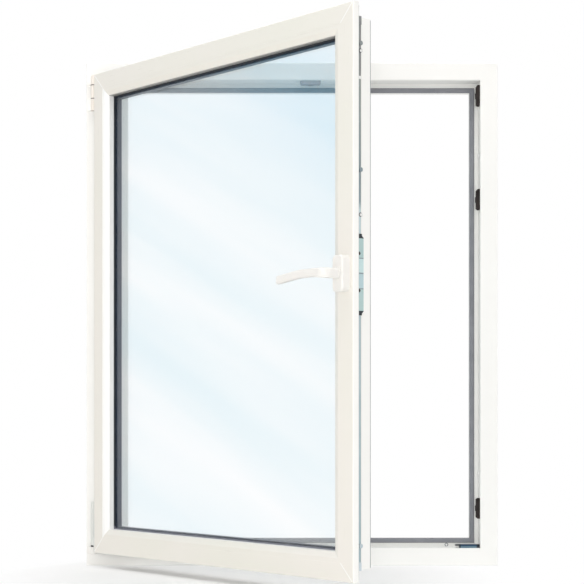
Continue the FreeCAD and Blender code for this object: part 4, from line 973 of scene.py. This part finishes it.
# %% Hinge shade rings
BARREL_HEIGHT = 95 * MM
GAP_SHADE_HEIGHT = 3.4 * MM
GAP_SHADE_DROP = 0.35
SHADE_RING_HEIGHT = 1.2 * MM
SHADE_RING_OVER = 0.3 * MM
barrel_low, barrel_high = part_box("lower_hinge_barrel")
shade_ring_radius = hinge.x - barrel_low.x + SHADE_RING_OVER
gap_shade_middle = barrel_high.z - BARREL_HEIGHT - GAP_SHADE_HEIGHT * GAP_SHADE_DROP
stay_points = [vertex.co for vertex in frame["nodes"]["stay_arm"].data.vertices]
knuckle_heights = [point.z for point in stay_points if (point.xy - hinge.xy).length < KNUCKLE_REACH]
for name, middle, height in (
    ("lower_hinge_washer", gap_shade_middle, GAP_SHADE_HEIGHT),
    ("knuckle_washer_low", min(knuckle_heights), SHADE_RING_HEIGHT),
    ("knuckle_washer_high", max(knuckle_heights), SHADE_RING_HEIGHT),
):
    shade_ring = add_disc(name, shade_ring_radius, height, sides=40, middle=(hinge.x, hinge.y, middle))
    bevel_edges(shade_ring, lambda edge: abs(edge_way(edge).z) < 0.5, SHADE_RING_OVER)
    hand_over(shade_ring, "frame", keep_dark)

# %% [markdown]
# ## Studio
# The window stands on a pale floor in an even white surround. To the camera the surround is plain
# white. To the surfaces it is a soft light from all sides, at half that strength. What mirrors in
# the panes and shows through them has soft slanting streaks of blue on the left, as a sky has. A
# picture of a sky would do too, but noise on the view's direction needs no file.

# %% White surround
SURROUND_LEVEL = 0.5
SURROUND_TONE = (1, 0.99, 0.975, 1)
STREAK_SLANT = radians(37)
STREAK_SCALE = (0.5, 1.2, 8.0)
SKY_BLUE, PURE_WHITE = (0.25, 0.62, 0.85, 1), (1, 1, 1, 1)


def mirror_share(tree, path):
    """One for rays that come off metal or through glass, and nought for the others."""
    rays = {0: path.outputs["Is Glossy Ray"], 1: path.outputs["Is Transmission Ray"]}
    return add_node(tree, "Math", rays, operation="MAXIMUM").outputs[0]


world = bpy.data.worlds.new("white_surround")
bpy.context.scene.world = world
world.use_nodes = True
sky = world.node_tree
sky.nodes.clear()
sky_way = add_node(sky, "TexCoord").outputs["Generated"]
sky_slant = add_node(sky, "Mapping", {"Vector": sky_way, "Rotation": (-STREAK_SLANT, 0, 0)})
sky_streaks = add_node(sky, "Mapping", {"Vector": sky_slant.outputs["Vector"], "Scale": STREAK_SCALE})
sky_noise = add_node(sky, "TexNoise", {"Vector": sky_streaks.outputs["Vector"], "Scale": 1.0, "Detail": 1.0})
sky_soft = add_node(sky, "MapRange", {"Value": sky_noise.outputs["Fac"], "From Min": 0.35, "From Max": 0.65})
sky_tone = mix_colors(sky, sky_soft.outputs["Result"], SKY_BLUE, PURE_WHITE)
sky_parts = add_node(sky, "SeparateXYZ", {"Vector": sky_way})
sky_left = add_node(sky, "MapRange", {"Value": sky_parts.outputs["X"], "From Min": -0.3, "From Max": -0.7})
sky_seen = mix_colors(sky, sky_left.outputs["Result"], PURE_WHITE, sky_tone)
sky_path = add_node(sky, "LightPath")
ambient = add_node(sky, "Background", {"Color": SURROUND_TONE, "Strength": SURROUND_LEVEL})
reflected = add_node(sky, "Background", {"Color": sky_seen, "Strength": 1.0})
backdrop = add_node(sky, "Background", {"Color": PURE_WHITE, "Strength": 1.0})
lit = add_node(
    sky, "MixShader", {0: mirror_share(sky, sky_path), 1: ambient.outputs[0], 2: reflected.outputs[0]}
)
seen = add_node(
    sky, "MixShader", {0: sky_path.outputs["Is Camera Ray"], 1: lit.outputs[0], 2: backdrop.outputs[0]}
)
add_node(sky, "OutputWorld", {"Surface": seen.outputs[0]})
print("surround", world.name)

# %% [markdown]
# Three soft lamps do the rest. A low one behind the camera lights the frame, and the sill under
# the leaf. A broad one overhead lights the floor, which throws its light up to the undersides. A
# weak warm one on the left keeps the leaf's front creamy. A photographer would hide the lamps
# from the glass with screens, and here they are simply not seen.

# %% Lamps
def add_lamp(name, place, aim, size, watts, color):
    """A square soft lamp at a place, turned towards a point, that lights but is not itself seen."""
    data = bpy.data.lights.new(name, "AREA")
    data.size = size
    data.energy = watts
    data.color = color
    lamp = bpy.data.objects.new(name, data)
    lamp.location = place
    lamp.rotation_euler = (Vector(aim) - Vector(place)).to_track_quat("-Z", "Y").to_euler()
    lamp.visible_camera = False
    lamp.visible_glossy = False
    lamp.visible_transmission = False
    bpy.context.scene.collection.objects.link(lamp)
    print(name, "gives", watts, "watts")


add_lamp("key_lamp", place=(0.1, -4.6, 0.5), aim=(0, 0, 0.5), size=0.9, watts=51, color=(1, 1, 1))
add_lamp("warm_lamp", place=(-3.6, -3.0, 1.2), aim=(0, -0.2, 0.5), size=2.2, watts=20, color=(1, 0.92, 0.84))
add_lamp("top_lamp", place=(0, -1.0, 4.2), aim=(0, 0, 0), size=3.5, watts=98, color=(1, 1, 1))

# %% [markdown]
# The floor is matt and nearly white. Close to the window it is a real surface that takes the
# shadow. Further out it fades to the white of the surround, for what the camera and the glass
# see, so that no horizon shows.

# %% Floor
FLOOR_SIZE = 40
FLOOR_MIDDLE = (-0.1, -0.28, 0)
FLOOR_NEAR = 0.3
FLOOR_FAR = 0.52
FLOOR_TONES = ((0.97, 0.97, 0.965), (0.96, 0.96, 0.955))
clear_selection()
bpy.ops.mesh.primitive_plane_add(size=FLOOR_SIZE, location=(0, 0, 0))
floor = bpy.context.object
floor.name = "studio_floor"
floor_finish = make_finish(
    "pale_floor", FLOOR_TONES, grain=40, roughness=0.75, spread=0.1, bump=0.05, drift=1.0
)
floor_tree = floor_finish.node_tree
floor_place = add_node(floor_tree, "TexCoord")
floor_reach = add_node(
    floor_tree, "VectorMath", {0: floor_place.outputs["Object"], 1: FLOOR_MIDDLE}, operation="DISTANCE"
)
floor_fade = add_node(
    floor_tree, "MapRange",
    {"Value": floor_reach.outputs["Value"], "From Min": FLOOR_NEAR, "From Max": FLOOR_FAR},
)
floor_path = add_node(floor_tree, "LightPath")
floor_seen = add_node(
    floor_tree, "Math",
    {0: floor_path.outputs["Is Camera Ray"], 1: mirror_share(floor_tree, floor_path)}, operation="MAXIMUM",
)
floor_share = add_node(
    floor_tree, "Math", {0: floor_seen.outputs[0], 1: floor_fade.outputs["Result"]}, operation="MULTIPLY"
)
floor_white = add_node(floor_tree, "Emission", {"Color": PURE_WHITE, "Strength": 1.0})
floor_both = add_node(
    floor_tree, "MixShader",
    {0: floor_share.outputs[0], 1: shader_of(floor_finish).outputs[0], 2: floor_white.outputs[0]},
)
floor_tree.links.new(floor_both.outputs[0], floor_tree.nodes["Material Output"].inputs["Surface"])
floor.data.materials.append(floor_finish)
print("floor", FLOOR_SIZE, "metres across")

# %% [markdown]
# ## Colours
# Standard view keeps the colours as they are written. No added piece may stand out of the solids.

# %% Close the file
bpy.context.scene.view_settings.view_transform = "Standard"
